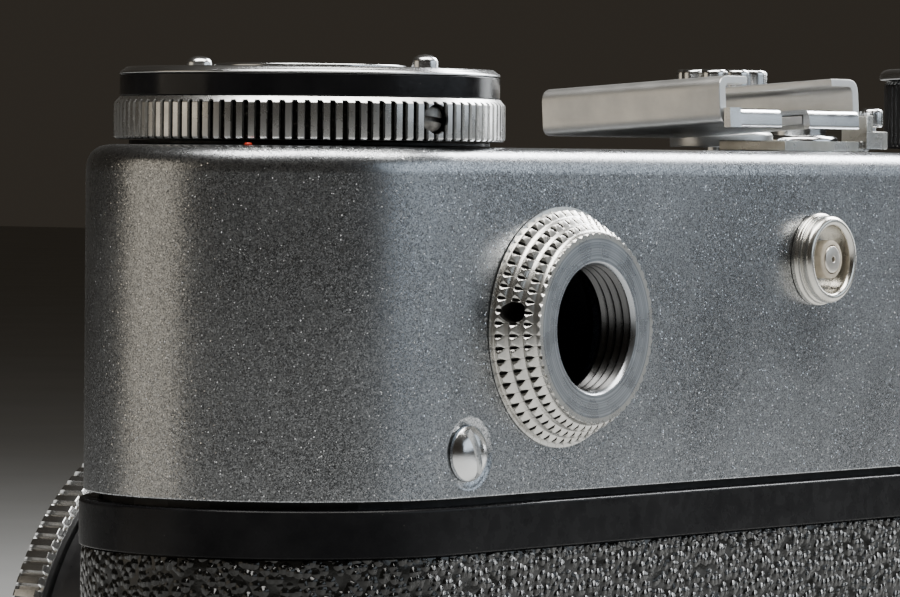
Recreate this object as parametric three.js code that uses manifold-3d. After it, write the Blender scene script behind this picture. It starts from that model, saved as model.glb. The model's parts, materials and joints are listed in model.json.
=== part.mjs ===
// A 35 mm rangefinder film camera with a removable back, in millimetres.
// X runs along the body with the rewind dial at +X, the lens looks along -Y, and Z is up.
// Every piece is one closed solid, and the base of the camera rests on Z = 0.

import * as THREE from 'three';
import { mergeVertices } from 'three/addons/utils/BufferGeometryUtils.js';
import Module from 'manifold-3d';

const wasm = await Module();
wasm.setup();

// ---- Driving dimensions ----

const END_X = 54.9; // centre of each round end of the body
const GAP = 0.3; // clearance between neighbouring pieces
const COVER = { radius: 16.1, bottom: 51.2, top: 78, wall: 1, edge: 1.1 };
const BACK = { radius: 16.45, inner: 15, bottom: 3.2, top: 50.6, bandBottom: 47 };
const LEATHER = { radius: 16.5, thickness: 0.4, bottom: 3.5 };
const BASE = { height: 3, edge: 0.9, web: 1.1 };
const SEAM_X = 55; // where the wrapped ends of the back meet the front plate
const CHASSIS = { radius: 14.6, bottom: 3.9, deckBottom: 49, deckTop: 52.5, floor: 1.5 };
const GATE = { width: 36.6, height: 24.6, plane: 9.7, thickness: 2.7 };
const CHAMBER_RADIUS = 13; // clears a 25.4 mm film cassette
const LENS_Z = 29; // height of the lens axis

const DIAL = { x: 52.9, radius: 15.28, bottom: 0.42, knurlTop: 3.4, bodyTop: 3.75, grooves: 40 };
const DIAL_RIM = { radius: 14.6, top: 6.05, bevel: 0.55, hub: 8.7 };
const DIAL_POST = { radius: 11.5, angle: 89.3 };
const SET_SCREW = { angle: 78.6, height: 2.1, radius: 1.15 };
const INDEX_DOT = { x: 14.5, y: 5.9, radius: 0.3 };
const WIND = { x: -52.5, radius: 12.9, capRadius: 13.5, top: 7.9 };
const SPEED = { x: -15.5, y: -8.5, radius: 4.15, top: 7.3 };
const RELEASE = { x: -27, y: -8, radius: 2.5, top: 3.4 };
const SHAFT_RADIUS = 2.5;

const EYEPIECE = { x: 41.4, z: 64.05, base: 9.4, face: 7.45, depth: 3.5, hole: 4.95 };
const SYNC = { x: 5.75, z: 69.05, base: 3.85, face: 3.58, bore: 2.75, depth: 1.8 };
const COVER_SCREW = { x: 52.9, z: 54.6, radius: 2.17, dimple: 3, dimpleDepth: 0.3 };
const SHOE = { halfWidth: 10.5, halfSlot: 9.45, halfGap: 6.4, halfLength: 9.3, y: 0.62, tilt: 3.6 };
const SHOE_Z = { bottom: 1.73, slot: 2.55, lip: 5.05, top: 5.75 };
const SHOE_TAB = { left: 10.2, gapLeft: 2.6, gapRight: -1.6, right: -9.2 };
const CLAMP = { x: -15.7, y: 7.3, radius: 1.05, bottom: 2.2, top: 3.9 };

const SPROCKET = { x: -35.5, y: 3, radius: 6 };
const SPOOL = { core: 5.5, flange: 9, bottom: 6.2, top: 48.4 };
const GEAR = { bottom: 53, top: 54.4, tip: 8.4, depth: 0.7, teeth: 16 };
const LOCK_KEY_X = 40;
const TRIPOD_THREAD_RADIUS = 3.175; // 1/4 inch

const LENS = { flange: 23.5, front: 43.4, ringRadius: 24, barrel: 19.2, tube: 15.5 };

const REAR_FACE_Y = COVER.radius;
const FRONT_FACE_Y = -COVER.radius;
const LENS_FRONT_Y = FRONT_FACE_Y - LENS.front;
const EYEPIECE_BACK_Y = REAR_FACE_Y + EYEPIECE.depth;
const ORIGIN_Y = (LENS_FRONT_Y + EYEPIECE_BACK_Y) / 2;

// ---- Finishes ----

function finish(color, roughness, metalness) {
  return new THREE.MeshStandardMaterial({ color, roughness, metalness });
}

const satin = finish(0x8d9299, 0.45, 0.9);
const chrome = finish(0xc9ccd0, 0.2, 1);
const nickel = finish(0xb4b1a6, 0.3, 1);
const brass = finish(0xa98542, 0.35, 1);
const casting = finish(0x5c5e60, 0.6, 0.8);
const enamel = finish(0x0b0b0c, 0.3, 0.1);
const flatBlack = finish(0x141414, 0.8, 0);
const leather = finish(0x121212, 0.55, 0);
const cloth = finish(0x1b1a19, 0.9, 0);
const glass = finish(0x6f7f86, 0.05, 0);
const insulator = finish(0xb09a78, 0.5, 0);
const redPaint = finish(0xa02018, 0.4, 0);

// ---- Solid helpers ----

const radians = THREE.MathUtils.degToRad;

// Turns a closed geometry into a solid: vertices merged, slivers dropped, faces pointing out.
function solid(geometry) {
  geometry.deleteAttribute('normal');
  geometry.deleteAttribute('uv');
  const merged = mergeVertices(geometry, 1e-4);
  const position = merged.attributes.position.array;
  const source = merged.index.array;
  const kept = [];
  for (let i = 0; i < source.length; i += 3) {
    const [a, b, c] = [source[i], source[i + 1], source[i + 2]];
    if (a !== b && b !== c && a !== c) kept.push(a, b, c);
  }
  const mesh = (order) => new wasm.Mesh({
    numProp: 3,
    vertProperties: new Float32Array(position),
    triVerts: new Uint32Array(order),
  });
  const made = new wasm.Manifold(mesh(kept));
  if (made.volume() > 0) return made;
  const flipped = [];
  for (let i = 0; i < kept.length; i += 3) flipped.push(kept[i], kept[i + 2], kept[i + 1]);
  return new wasm.Manifold(mesh(flipped));
}

// A turned solid about Z from [radius, z] points that end on the axis or close on themselves.
function turned(profile, segments = 30) {
  const points = profile.map(([radius, z]) => new THREE.Vector2(radius, z));
  return solid(new THREE.LatheGeometry(points, segments).rotateX(Math.PI / 2));
}

function disc(radius, z0, z1, segments = 20) {
  return turned([[0, z0], [radius, z0], [radius, z1], [0, z1]], segments);
}

function ring(outer, inner, z0, z1, segments = 30) {
  return turned([[inner, z0], [outer, z0], [outer, z1], [inner, z1], [inner, z0]], segments);
}

function box(x0, x1, y0, y1, z0, z1) {
  const geometry = new THREE.BoxGeometry(x1 - x0, y1 - y0, z1 - z0);
  return solid(geometry.translate((x0 + x1) / 2, (y0 + y1) / 2, (z0 + z1) / 2));
}

// Moves and turns a solid, with angles in degrees.
function placed(piece, x, y, z, turnX = 0, turnZ = 0) {
  return piece.rotate([turnX, 0, turnZ]).translate([x, y, z]);
}

// A cylinder along Y.
function cross(radius, x, z, y0, y1, segments = 20) {
  return placed(disc(radius, -y1, -y0, segments), x, 0, z, 90);
}

function without(piece, cutters) {
  return cutters.reduce((left, cutter) => left.subtract(cutter), piece);
}

function joined(pieces) {
  return pieces.reduce((left, piece) => left.add(piece));
}

// A body with two round ends, stacked from [end radius, z] levels.
function stadium(levels, endSteps = 12) {
  const outline = [];
  for (const side of [1, -1]) {
    for (let i = 0; i <= endSteps; i++) {
      const angle = -Math.PI / 2 + (Math.PI * i) / endSteps + (side < 0 ? Math.PI : 0);
      outline.push([side * END_X, Math.cos(angle), Math.sin(angle)]);
    }
  }
  const count = outline.length;
  const vertices = [];
  const faces = [];
  for (const [radius, z] of levels) {
    for (const [x, along, across] of outline) vertices.push(x + radius * along, radius * across, z);
  }
  for (let level = 0; level + 1 < levels.length; level++) {
    for (let i = 0; i < count; i++) {
      const a = level * count + i;
      const b = level * count + ((i + 1) % count);
      faces.push(a, b, b + count, a, b + count, a + count);
    }
  }
  const top = (levels.length - 1) * count;
  for (let i = 1; i + 1 < count; i++) {
    faces.push(0, i + 1, i, top, top + i, top + i + 1);
  }
  const geometry = new THREE.BufferGeometry();
  geometry.setAttribute('position', new THREE.Float32BufferAttribute(vertices, 3));
  geometry.setIndex(faces);
  return solid(geometry);
}

// A ring or disc with straight grooves around its rim.
function grooved(outer, depth, count, z0, z1, land = 0.55) {
  const step = (2 * Math.PI) / count;
  const points = [];
  for (let i = 0; i < count; i++) {
    const corners = [[0, outer], [land, outer], [(1 + land) / 2, outer - depth]];
    for (const [share, radius] of corners) {
      const angle = step * (i + share);
      points.push(new THREE.Vector2(radius * Math.cos(angle), radius * Math.sin(angle)));
    }
  }
  const geometry = new THREE.ExtrudeGeometry(new THREE.Shape(points), {
    depth: z1 - z0,
    bevelEnabled: false,
  });
  return solid(geometry.translate(0, 0, z0));
}

// ---- Scene groups ----

const camera = new THREE.Group();
camera.position.y = -ORIGIN_Y;

function station(x, y, z, turnX = 0) {
  const group = new THREE.Group();
  group.position.set(x, y, z);
  group.rotation.x = radians(turnX);
  camera.add(group);
  return group;
}

const rewindStation = station(DIAL.x, 0, COVER.top);
const windStation = station(WIND.x, 0, COVER.top);
const speedStation = station(SPEED.x, SPEED.y, COVER.top);
const releaseStation = station(RELEASE.x, RELEASE.y, COVER.top);
const shoeStation = station(0, SHOE.y, COVER.top, SHOE.tilt);
const clampStation = station(CLAMP.x, CLAMP.y, COVER.top);
const eyepieceStation = station(EYEPIECE.x, REAR_FACE_Y, EYEPIECE.z, -90);
const syncStation = station(SYNC.x, REAR_FACE_Y, SYNC.z, -90);
const lensStation = station(0, FRONT_FACE_Y, LENS_Z, 90);

// Adds one named piece to a group, made of a solid.
function add(parent, name, piece, material) {
  const { vertProperties, triVerts, numProp } = piece.getMesh();
  const positions = [];
  for (let i = 0; i < vertProperties.length; i += numProp) {
    positions.push(vertProperties[i], vertProperties[i + 1], vertProperties[i + 2]);
  }
  const geometry = new THREE.BufferGeometry();
  geometry.setAttribute('position', new THREE.Float32BufferAttribute(positions, 3));
  geometry.setIndex([...triVerts]);
  geometry.computeVertexNormals();
  const mesh = new THREE.Mesh(geometry, material);
  mesh.name = name;
  parent.add(mesh);
}

// ---- Top cover and what is fixed in it ----

function topCover() {
  const { radius, bottom, top, wall, edge } = COVER;
  const levels = [[radius, bottom]];
  for (const angle of [0, 45, 90]) {
    const inset = edge * (1 - Math.cos(radians(angle)));
    levels.push([radius - inset, top - edge + edge * Math.sin(radians(angle))]);
  }
  const shell = stadium(levels).subtract(stadium([[radius - wall, bottom - 1], [radius - wall, top - 1.2]]));
  const dimpleFloor = REAR_FACE_Y - COVER_SCREW.dimpleDepth;
  const dimple = (x) => cross(COVER_SCREW.dimple, x, COVER_SCREW.z, dimpleFloor, 20);
  const screwHole = (x) => cross(1.6, x, COVER_SCREW.z, 13, 20);
  return without(shell, [
    placed(disc(SHAFT_RADIUS + 0.7, 70, 80), DIAL.x, 0, 0),
    placed(disc(SHAFT_RADIUS + 0.7, 70, 80), WIND.x, 0, 0),
    placed(disc(2, 70, 80), SPEED.x, SPEED.y, 0),
    placed(disc(RELEASE.radius + GAP, 70, 80), RELEASE.x, RELEASE.y, 0),
    cross(5.6, EYEPIECE.x, EYEPIECE.z, 13, 20),
    cross(3.1, SYNC.x, SYNC.z, 13, 20),
    dimple(COVER_SCREW.x),
    dimple(-COVER_SCREW.x),
    screwHole(COVER_SCREW.x),
    screwHole(-COVER_SCREW.x),
    box(EYEPIECE.x - 7.5, EYEPIECE.x + 7.5, -20, -13, EYEPIECE.z - 5, EYEPIECE.z + 5),
    cross(4, -6, EYEPIECE.z, -20, -13),
  ]);
}

function coverScrew() {
  const head = turned([[0, -0.25], [2.17, -0.25], [2.17, 0.05], [1.75, 0.45], [1, 0.7], [0, 0.78]], 16);
  const stem = disc(1.3, -3, -0.2, 12);
  return head.add(stem).subtract(box(-0.38, 0.38, -3, 3, 0.25, 1));
}

function eyepieceRing() {
  const { base, face, depth, hole } = EYEPIECE;
  const body = turned([
    [hole, 0.06], [base, 0.06], [base, 0.6], [base - 0.5, 1.4], [face, depth],
    [hole + 0.23, depth], [hole, depth - 0.3], [hole, 0.06],
  ], 36);
  return body.subtract(placed(disc(0.7, 6.4, 12, 16).rotate([0, 90, 0]), 0, -1.3, 1.45));
}

function syncShell() {
  const { base, face, bore, depth } = SYNC;
  return turned([
    [0, -3], [2.8, -3], [2.8, 0.06], [base, 0.06], [base, 0.45], [face, 0.6], [face, depth - 0.35],
    [face - 0.3, depth], [bore + 0.2, depth], [bore, depth - 0.2], [bore, 0.3], [0, 0.3],
  ], 24);
}

function finderWindow() {
  const { x, z } = EYEPIECE;
  return box(x - 7.2, x + 7.2, FRONT_FACE_Y + 0.2, FRONT_FACE_Y + 0.9, z - 4.7, z + 4.7);
}

// ---- Accessory shoe ----

function accessoryShoe() {
  const { halfWidth, halfSlot, halfGap, halfLength } = SHOE;
  const { bottom, slot, lip, top } = SHOE_Z;
  const chamfer = (side) => placed(
    box(-0.8, 0.8, -20, 20, -0.8, 0.8).rotate([0, 45, 0]),
    side * (halfWidth + 0.45),
    0,
    top + 0.45,
  );
  return without(box(-halfWidth, halfWidth, -halfLength, halfLength, bottom, top), [
    box(-halfSlot, halfSlot, -20, 20, slot, lip),
    box(-halfGap, halfGap, -20, 20, lip - 0.5, top + 1),
    chamfer(1),
    chamfer(-1),
  ]);
}

function shoeSpring() {
  const rear = SHOE.halfLength + 0.12;
  const back = rear + 0.65;
  const { bottom, slot } = SHOE_Z;
  const { left, gapLeft, gapRight, right } = SHOE_TAB;
  const leafTop = slot + 0.4;
  return without(joined([
    box(-9.2, 9.2, -7.5, back, slot + 0.1, leafTop),
    box(gapLeft, left, rear, back, bottom - 0.4, leafTop),
    box(right, gapRight, rear, back, bottom - 0.4, leafTop),
  ]), [box(gapRight, gapLeft, 2, rear + 2, 0, 6)]);
}

function shoeFoot() {
  return without(joined([
    box(-14.5, -1.5, 1, 7.9, 0.06, 0.95),
    box(-16.7, -13.4, 5.7, 8.4, 0.06, CLAMP.bottom - GAP),
    box(-14.4, -13.4, 5.7, 8.4, 0.06, 3.3),
  ]), [placed(disc(0.65, 0.7, 4, 16), CLAMP.x, CLAMP.y, 0)]);
}

function clampScrew() {
  return joined([
    grooved(CLAMP.radius, 0.12, 14, CLAMP.bottom, CLAMP.top),
    disc(0.45, 0.8, CLAMP.bottom + 0.1, 16),
  ]);
}

// ---- Rewind dial ----

function setScrewPlaced(piece) {
  return placed(piece.rotate([0, 90, 0]), 0, 0, SET_SCREW.height, 0, SET_SCREW.angle);
}

function rewindDialRing() {
  const { radius, bottom, knurlTop, bodyTop, grooves } = DIAL;
  const hole = setScrewPlaced(disc(SET_SCREW.radius, 12.2, 16, 20));
  return without(joined([
    grooved(radius, 0.35, grooves, bottom, knurlTop),
    turned([[0, bottom], [14.95, bottom], [14.95, bodyTop - 0.1], [14.8, bodyTop], [0, bodyTop]]),
  ]), [disc(SHAFT_RADIUS + 0.2, -1, 5), hole]);
}

function dialSetScrew() {
  const slot = box(-0.2, 0.2, -2, 2, 13.8, 15);
  return setScrewPlaced(disc(SET_SCREW.radius - 0.2, 12.4, 14.3, 20).subtract(slot));
}

function dialRim() {
  const { radius, top, bevel, hub } = DIAL_RIM;
  const low = DIAL.bodyTop + 0.1;
  return turned([
    [2.9, low], [hub, low], [hub, 5.5], [radius, 5.5], [radius, top - bevel + 0.08], [radius - bevel, top],
    [7.8, top], [7.8, 5.2], [2.9, 5.2], [2.9, low],
  ]);
}

function dialPost() {
  return turned([[0, 0], [1, 0], [1, 0.6], [0.7, 0.88], [0.35, 1], [0, 1.02]], 12);
}

function rewindShaft() {
  const bottom = 44 - COVER.top;
  return disc(SHAFT_RADIUS, bottom, 5, 24).subtract(box(-0.7, 0.7, -4, 4, bottom - 1, bottom + 3.5));
}

// ---- Wind knob, film transport and release ----

function windKnob() {
  return without(grooved(WIND.radius, 0.4, 40, 0.5, WIND.top - 1.1), [disc(SHAFT_RADIUS + 0.2, -1, 9)]);
}

function windKnobCap() {
  const { capRadius: radius, top } = WIND;
  const low = top - 1;
  return turned([
    [0, low], [radius - 0.2, low], [radius - 0.2, top - 0.3], [radius - 0.5, top], [9, top], [9, top - 0.45],
    [0, top - 0.45],
  ]);
}

function gear() {
  return grooved(GEAR.tip, GEAR.depth, GEAR.teeth, GEAR.bottom, GEAR.top, 0.4)
    .subtract(disc(SHAFT_RADIUS + 0.15, 50, 56, 24));
}

function takeUpSpool() {
  const { core, flange, bottom, top } = SPOOL;
  const body = turned([
    [0, bottom], [flange, bottom], [flange, bottom + 1.2], [core, bottom + 1.2], [core, top - 1.2],
    [flange, top - 1.2], [flange, top], [0, top],
  ], 24);
  return body.subtract(box(-0.6, 0.6, 1, 8, bottom + 4, top - 4));
}

function sprocketDrum() {
  const teeth = (z) => grooved(SPROCKET.radius + 0.9, 1.2, 8, z - 0.6, z + 0.6, 0.08);
  return joined([
    disc(SPROCKET.radius, 11, 47.5),
    disc(SHAFT_RADIUS, 5.8, 54.7, 24),
    teeth(15),
    teeth(43),
  ]);
}

function releaseButton() {
  const { radius, top } = RELEASE;
  return turned([
    [0, -3], [radius, -3], [radius, top - 0.5], [radius - 0.7, top - 0.1], [0.8, top],
    [0.8, top - 2], [0, top - 2],
  ], 28);
}

function speedKnob() {
  const { radius, top } = SPEED;
  return grooved(radius, 0.9, 8, 2.2, top, 0.5).add(disc(1.6, -20, 2.4, 20));
}

// ---- Chassis ----

function chassis() {
  const { radius, bottom, deckBottom, deckTop, floor } = CHASSIS;
  const inside = bottom + floor;
  const block = stadium([[radius, bottom], [radius, deckTop]]);
  const gateFront = GATE.plane - GATE.thickness;
  const chamber = (x) => placed(disc(CHAMBER_RADIUS, inside, deckBottom, 40), x, 0, 0);
  const boreAt = (r, x, y) => placed(disc(r, 40, 60, 24), x, y, 0);
  const cutters = [
    box(-80, 80, GATE.plane, 20, -1, deckBottom), // the film path behind the gate
    chamber(DIAL.x),
    chamber(WIND.x),
    box(40.5, 80, 1, 20, inside, deckBottom), // cassette chamber, open to the rear
    box(-80, -42, 1, 20, inside, deckBottom), // take-up chamber, open to the rear
    box(-43, -28, -8.5, 20, inside, deckBottom), // sprocket bay
    box(21.2, 37.5, -12.6, gateFront, -1, deckBottom), // right mechanism bay
    box(-29, -21.2, -12.6, gateFront, -1, deckBottom), // left mechanism bay
    box(-GATE.width / 2, GATE.width / 2, -12.6, 20, LENS_Z - GATE.height / 2, LENS_Z + GATE.height / 2),
    cross(17.6, 0, LENS_Z, -20, 2, 48), // lens throat
    box(-21.3, 21.3, 4.7, 6.1, LENS_Z - 16, LENS_Z + 16), // curtain slot
    disc(7.5, -1, 9), // over the tripod bush
    boreAt(SHAFT_RADIUS + GAP, DIAL.x, 0),
    boreAt(SHAFT_RADIUS + GAP, WIND.x, 0),
    boreAt(SHAFT_RADIUS + GAP, SPROCKET.x, SPROCKET.y),
    box(-13, 13, -20, -5, 53, 60),
  ];
  return without(block, cutters);
}

function frontPlate() {
  const top = BACK.top;
  const plate = joined([
    box(-SEAM_X + GAP, SEAM_X - GAP, -15.95, -15, BACK.bottom, top),
    box(-SEAM_X + GAP, SEAM_X - GAP, -BACK.radius, -15, BACK.bandBottom, top),
  ]);
  return plate.subtract(cross(19.5, 0, LENS_Z, -20, -10, 48));
}

function frontLeatherette() {
  const y = -LEATHER.radius;
  const halfWidth = SEAM_X - GAP;
  const top = BACK.bandBottom - 0.15;
  const sheet = box(-halfWidth, halfWidth, y, y + LEATHER.thickness, LEATHER.bottom, top);
  return sheet.subtract(cross(LENS.flange + 0.4, 0, LENS_Z, -20, -10, 48));
}

function shutterCurtain() {
  return box(-22, 22, 5.2, 5.6, LENS_Z - 15, LENS_Z + 15);
}

function curtainRoller() {
  return disc(2.4, 6, 48.4, 24);
}

// ---- Removable back ----

function openFront(outer, inner, low, high) {
  return without(outer, [
    stadium([[inner, low - 1], [inner, high + 1]]),
    box(-SEAM_X, SEAM_X, -30, -4, low - 1, high + 1),
  ]);
}

function backShell() {
  const { radius, inner, bottom, top, bandBottom } = BACK;
  const outer = stadium([[15.95, bottom], [15.95, bandBottom], [radius, bandBottom], [radius, top]]);
  return openFront(outer, inner, bottom, top);
}

function backLeatherette() {
  const { radius, thickness, bottom } = LEATHER;
  const top = BACK.bandBottom - 0.15;
  return openFront(stadium([[radius, bottom], [radius, top]]), radius - thickness, bottom, top);
}

function basePlate() {
  const { height, edge, web } = BASE;
  const { radius } = BACK;
  const plate = stadium([
    [radius - edge, 0], [radius - 0.25, edge * 0.45], [radius, edge], [radius, height],
  ]);
  const pocket = (x) => placed(disc(9.3, -1, height - web, 40), x, 0, 0);
  const pivotHole = (x) => placed(disc(SHAFT_RADIUS + GAP, -1, 5, 24), x, 0, 0);
  return without(plate, [
    pocket(LOCK_KEY_X),
    pocket(-LOCK_KEY_X),
    pivotHole(LOCK_KEY_X),
    pivotHole(-LOCK_KEY_X),
    disc(6.2, -1, 5),
  ]);
}

function lockKey() {
  return joined([
    disc(8.9, 0.9, 1.6, 40),
    box(-7.5, 7.5, -1.1, 1.1, 0.25, 1),
    disc(SHAFT_RADIUS, 1.5, 3.6, 24),
  ]);
}

function tripodBush() {
  const bush = turned([[0, 0.1], [6, 0.1], [6, 3.2], [5, 3.2], [5, 7.4], [0, 7.4]], 20);
  return bush.subtract(disc(TRIPOD_THREAD_RADIUS, -1, 6, 20));
}

function pressurePlate() {
  return box(-30, 30, 10.1, 11, 8, 46);
}

// A bowed leaf that stands between the back wall and the pressure plate.
function pressureSpring() {
  const outline = new THREE.Shape();
  outline.moveTo(-20, 14.4);
  outline.quadraticCurveTo(0, 11.1, 20, 14.4);
  outline.lineTo(20, 14.75);
  outline.quadraticCurveTo(0, 11.45, -20, 14.75);
  outline.closePath();
  return solid(new THREE.ExtrudeGeometry(outline, { depth: 8, bevelEnabled: false, curveSegments: 10 }));
}

// ---- Lens, measured forward from the front face of the body ----

function lensMount() {
  const { flange, barrel } = LENS;
  const inner = barrel + GAP;
  return turned([
    [inner, 0.5], [flange, 0.5], [flange, 2.2], [flange - 0.6, 2.8], [inner, 2.8], [inner, 0.5],
  ]);
}

function mountBarrel() {
  return ring(21.6, LENS.barrel + GAP, 3, 20);
}

function focusRing() {
  return grooved(25.2, 0.7, 32, 5, 15.5, 0.5).subtract(disc(21.9, 0, 30, 36));
}

function lensBarrel() {
  const { barrel, tube } = LENS;
  return turned([
    [tube, 1], [barrel, 1], [barrel, 23], [22, 24.5], [22, 26], [20.8, 26], [20.8, 33], [22.6, 34.5],
    [22.6, 39.6], [19, 39.6], [tube + 1.2, 33], [tube + 1.2, 30], [tube, 29], [tube, 1],
  ]);
}

function apertureRing() {
  return grooved(23.2, 0.5, 32, 26.3, 32.6, 0.5).subtract(disc(21.1, 20, 40, 36));
}

function serratedFrontRing() {
  const { ringRadius, front } = LENS;
  const body = grooved(ringRadius, 0.5, 40, 39.9, front - 0.3).add(disc(ringRadius - 0.5, 39.9, front, 40));
  return body.subtract(disc(20.4, 30, 50, 36));
}

function frontElement() {
  return turned([[0, 30.3], [16.4, 30.3], [16.4, 32.5], [12, 34], [6.5, 35], [0, 35.4]]);
}

function rearElement() {
  return turned([[0, 2.5], [8, 3], [15.2, 4.2], [15.2, 6.5], [0, 6.5]]);
}

function irisDiaphragm() {
  return ring(15.2, 8.5, 17, 17.6);
}

// ---- Assembly ----

add(camera, 'top_cover', topCover(), satin);
add(station(COVER_SCREW.x, REAR_FACE_Y, COVER_SCREW.z, -90), 'cover_screw_left', coverScrew(), chrome);
add(station(-COVER_SCREW.x, REAR_FACE_Y, COVER_SCREW.z, -90), 'cover_screw_right', coverScrew(), chrome);
add(eyepieceStation, 'eyepiece_ring', eyepieceRing(), nickel);
add(camera, 'viewfinder_tube', cross(7, EYEPIECE.x, EYEPIECE.z, -14.4, 14.6, 40)
  .subtract(cross(5.7, EYEPIECE.x, EYEPIECE.z, -20, 20, 40)), flatBlack);
add(camera, 'eyepiece_lens', cross(5.5, EYEPIECE.x, EYEPIECE.z, 6.5, 9, 32), glass);
add(camera, 'finder_window', finderWindow(), glass);
const smallWindow = cross(3.7, -6, EYEPIECE.z, FRONT_FACE_Y + 0.2, FRONT_FACE_Y + 0.9, 28);
add(camera, 'rangefinder_window', smallWindow, glass);
add(syncStation, 'sync_socket_shell', syncShell(), nickel);
add(syncStation, 'sync_insulator', ring(1.6, 1.2, 0.4, 1.6, 16), insulator);
add(syncStation, 'sync_contact', disc(1.1, 0.4, 1.7, 16).subtract(disc(0.22, 1, 3, 8)), brass);

add(shoeStation, 'accessory_shoe', accessoryShoe(), chrome);
add(shoeStation, 'shoe_spring', shoeSpring(), chrome);
add(station(0, 0, COVER.top), 'shoe_foot', shoeFoot(), nickel);
add(clampStation, 'shoe_clamp_screw', clampScrew(), chrome);

add(rewindStation, 'dial_collar', ring(13.6, 3.4, 0.06, 0.34), flatBlack);
add(rewindStation, 'rewind_dial_ring', rewindDialRing(), nickel);
add(rewindStation, 'dial_set_screw', dialSetScrew(), flatBlack);
add(rewindStation, 'dial_black_ring', ring(14.85, DIAL_RIM.hub + 0.2, 3.83, 5.42), enamel);
add(rewindStation, 'dial_rim', dialRim(), chrome);
const capOutline = [[0, 5.28], [7.5, 5.28], [7.5, 6.2], [7.3, 6.35], [0, 6.35]];
add(rewindStation, 'dial_centre_cap', turned(capOutline), chrome);
for (const [name, turn] of [['dial_post_near', 0], ['dial_post_far', 180]]) {
  const angle = radians(DIAL_POST.angle + turn);
  const { radius } = DIAL_POST;
  const post = placed(dialPost(), radius * Math.cos(angle), radius * Math.sin(angle), 6.1);
  add(rewindStation, name, post, chrome);
}
add(rewindStation, 'rewind_shaft', rewindShaft(), nickel);
const dot = disc(INDEX_DOT.radius, 0.03, 0.2, 12);
add(rewindStation, 'index_dot', placed(dot, INDEX_DOT.x, INDEX_DOT.y, 0), redPaint);

add(windStation, 'wind_knob', windKnob(), enamel);
add(windStation, 'wind_knob_cap', windKnobCap(), chrome);
add(windStation, 'frame_counter_disc', disc(8.7, WIND.top - 0.35, WIND.top - 0.05, 40), satin);
add(windStation, 'wind_shaft', disc(SHAFT_RADIUS, 48.7 - COVER.top, WIND.top - 1.3, 24), nickel);
add(camera, 'wind_gear', placed(gear(), WIND.x, 0, 0), brass);
add(camera, 'take_up_spool', placed(takeUpSpool(), WIND.x, 0, 0), flatBlack);
add(camera, 'sprocket_drum', placed(sprocketDrum(), SPROCKET.x, SPROCKET.y, 0), nickel);
add(camera, 'sprocket_gear', placed(gear(), SPROCKET.x, SPROCKET.y, 0), brass);
add(speedStation, 'speed_knob', speedKnob(), chrome);
add(speedStation, 'speed_dial', ring(4.6, 2, 0.4, 1.9), satin);
add(releaseStation, 'release_collar', ring(3.6, RELEASE.radius + GAP, 0.06, 1.6, 32), chrome);
add(releaseStation, 'release_button', releaseButton(), chrome);

add(camera, 'chassis', chassis(), casting);
add(camera, 'front_plate', frontPlate(), enamel);
add(camera, 'front_leatherette', frontLeatherette(), leather);
add(camera, 'shutter_curtain', shutterCurtain(), cloth);
add(camera, 'curtain_roller_left', placed(curtainRoller(), 25.4, 3.5, 0), nickel);
add(camera, 'curtain_roller_right', placed(curtainRoller(), -25.4, 3.5, 0), nickel);

add(camera, 'back_shell', backShell(), enamel);
add(camera, 'back_leatherette', backLeatherette(), leather);
add(camera, 'base_plate', basePlate(), satin);
add(camera, 'lock_key_left', placed(lockKey(), LOCK_KEY_X, 0, 0), nickel);
add(camera, 'lock_key_right', placed(lockKey(), -LOCK_KEY_X, 0, 0), nickel);
add(camera, 'tripod_bush', tripodBush(), nickel);
add(camera, 'pressure_plate', pressurePlate(), flatBlack);
add(station(0, 0, 25), 'pressure_spring', pressureSpring(), nickel);

add(lensStation, 'lens_mount_ring', lensMount(), chrome);
add(lensStation, 'mount_barrel', mountBarrel(), flatBlack);
add(lensStation, 'focus_ring', focusRing(), satin);
add(lensStation, 'lens_barrel', lensBarrel(), flatBlack);
add(lensStation, 'aperture_ring', apertureRing(), satin);
add(lensStation, 'serrated_front_ring', serratedFrontRing(), chrome);
add(lensStation, 'front_element', frontElement(), glass);
add(lensStation, 'rear_element', rearElement(), glass);
add(lensStation, 'iris_diaphragm', irisDiaphragm(), flatBlack);

export default camera;
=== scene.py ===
"""Looks of the 35 mm film camera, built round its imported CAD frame.

Shapes are worked out in millimetres in a local frame that starts at a CAD node, and piece() turns
them into metres in the row frame.
"""

import json
import math

import bmesh
import bpy
from mathutils import Matrix, Vector, noise


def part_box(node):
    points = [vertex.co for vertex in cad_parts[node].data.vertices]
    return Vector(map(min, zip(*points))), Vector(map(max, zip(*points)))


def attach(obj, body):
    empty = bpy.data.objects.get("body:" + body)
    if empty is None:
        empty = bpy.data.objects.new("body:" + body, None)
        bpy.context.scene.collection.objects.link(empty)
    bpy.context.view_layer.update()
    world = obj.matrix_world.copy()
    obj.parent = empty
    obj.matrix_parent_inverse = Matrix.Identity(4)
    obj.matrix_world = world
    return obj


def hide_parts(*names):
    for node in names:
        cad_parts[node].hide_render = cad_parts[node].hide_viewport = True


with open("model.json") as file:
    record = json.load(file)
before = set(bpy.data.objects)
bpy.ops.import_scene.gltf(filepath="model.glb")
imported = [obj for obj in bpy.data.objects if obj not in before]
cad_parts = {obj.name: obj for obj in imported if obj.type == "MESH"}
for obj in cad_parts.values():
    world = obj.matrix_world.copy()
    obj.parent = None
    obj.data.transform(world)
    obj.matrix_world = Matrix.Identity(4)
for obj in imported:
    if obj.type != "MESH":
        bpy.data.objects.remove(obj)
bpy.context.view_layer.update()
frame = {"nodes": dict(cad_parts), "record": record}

MM = 0.001
TAU = 2 * math.pi
SLOT_OF = {row["node"]: row["material_slot"] for row in frame["record"]["subparts"]}
GROUPS = frame["record"]["behaviour"]["bodies"]
BODY_OF = {node: body for body, nodes in GROUPS.items() for node in nodes}


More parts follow.
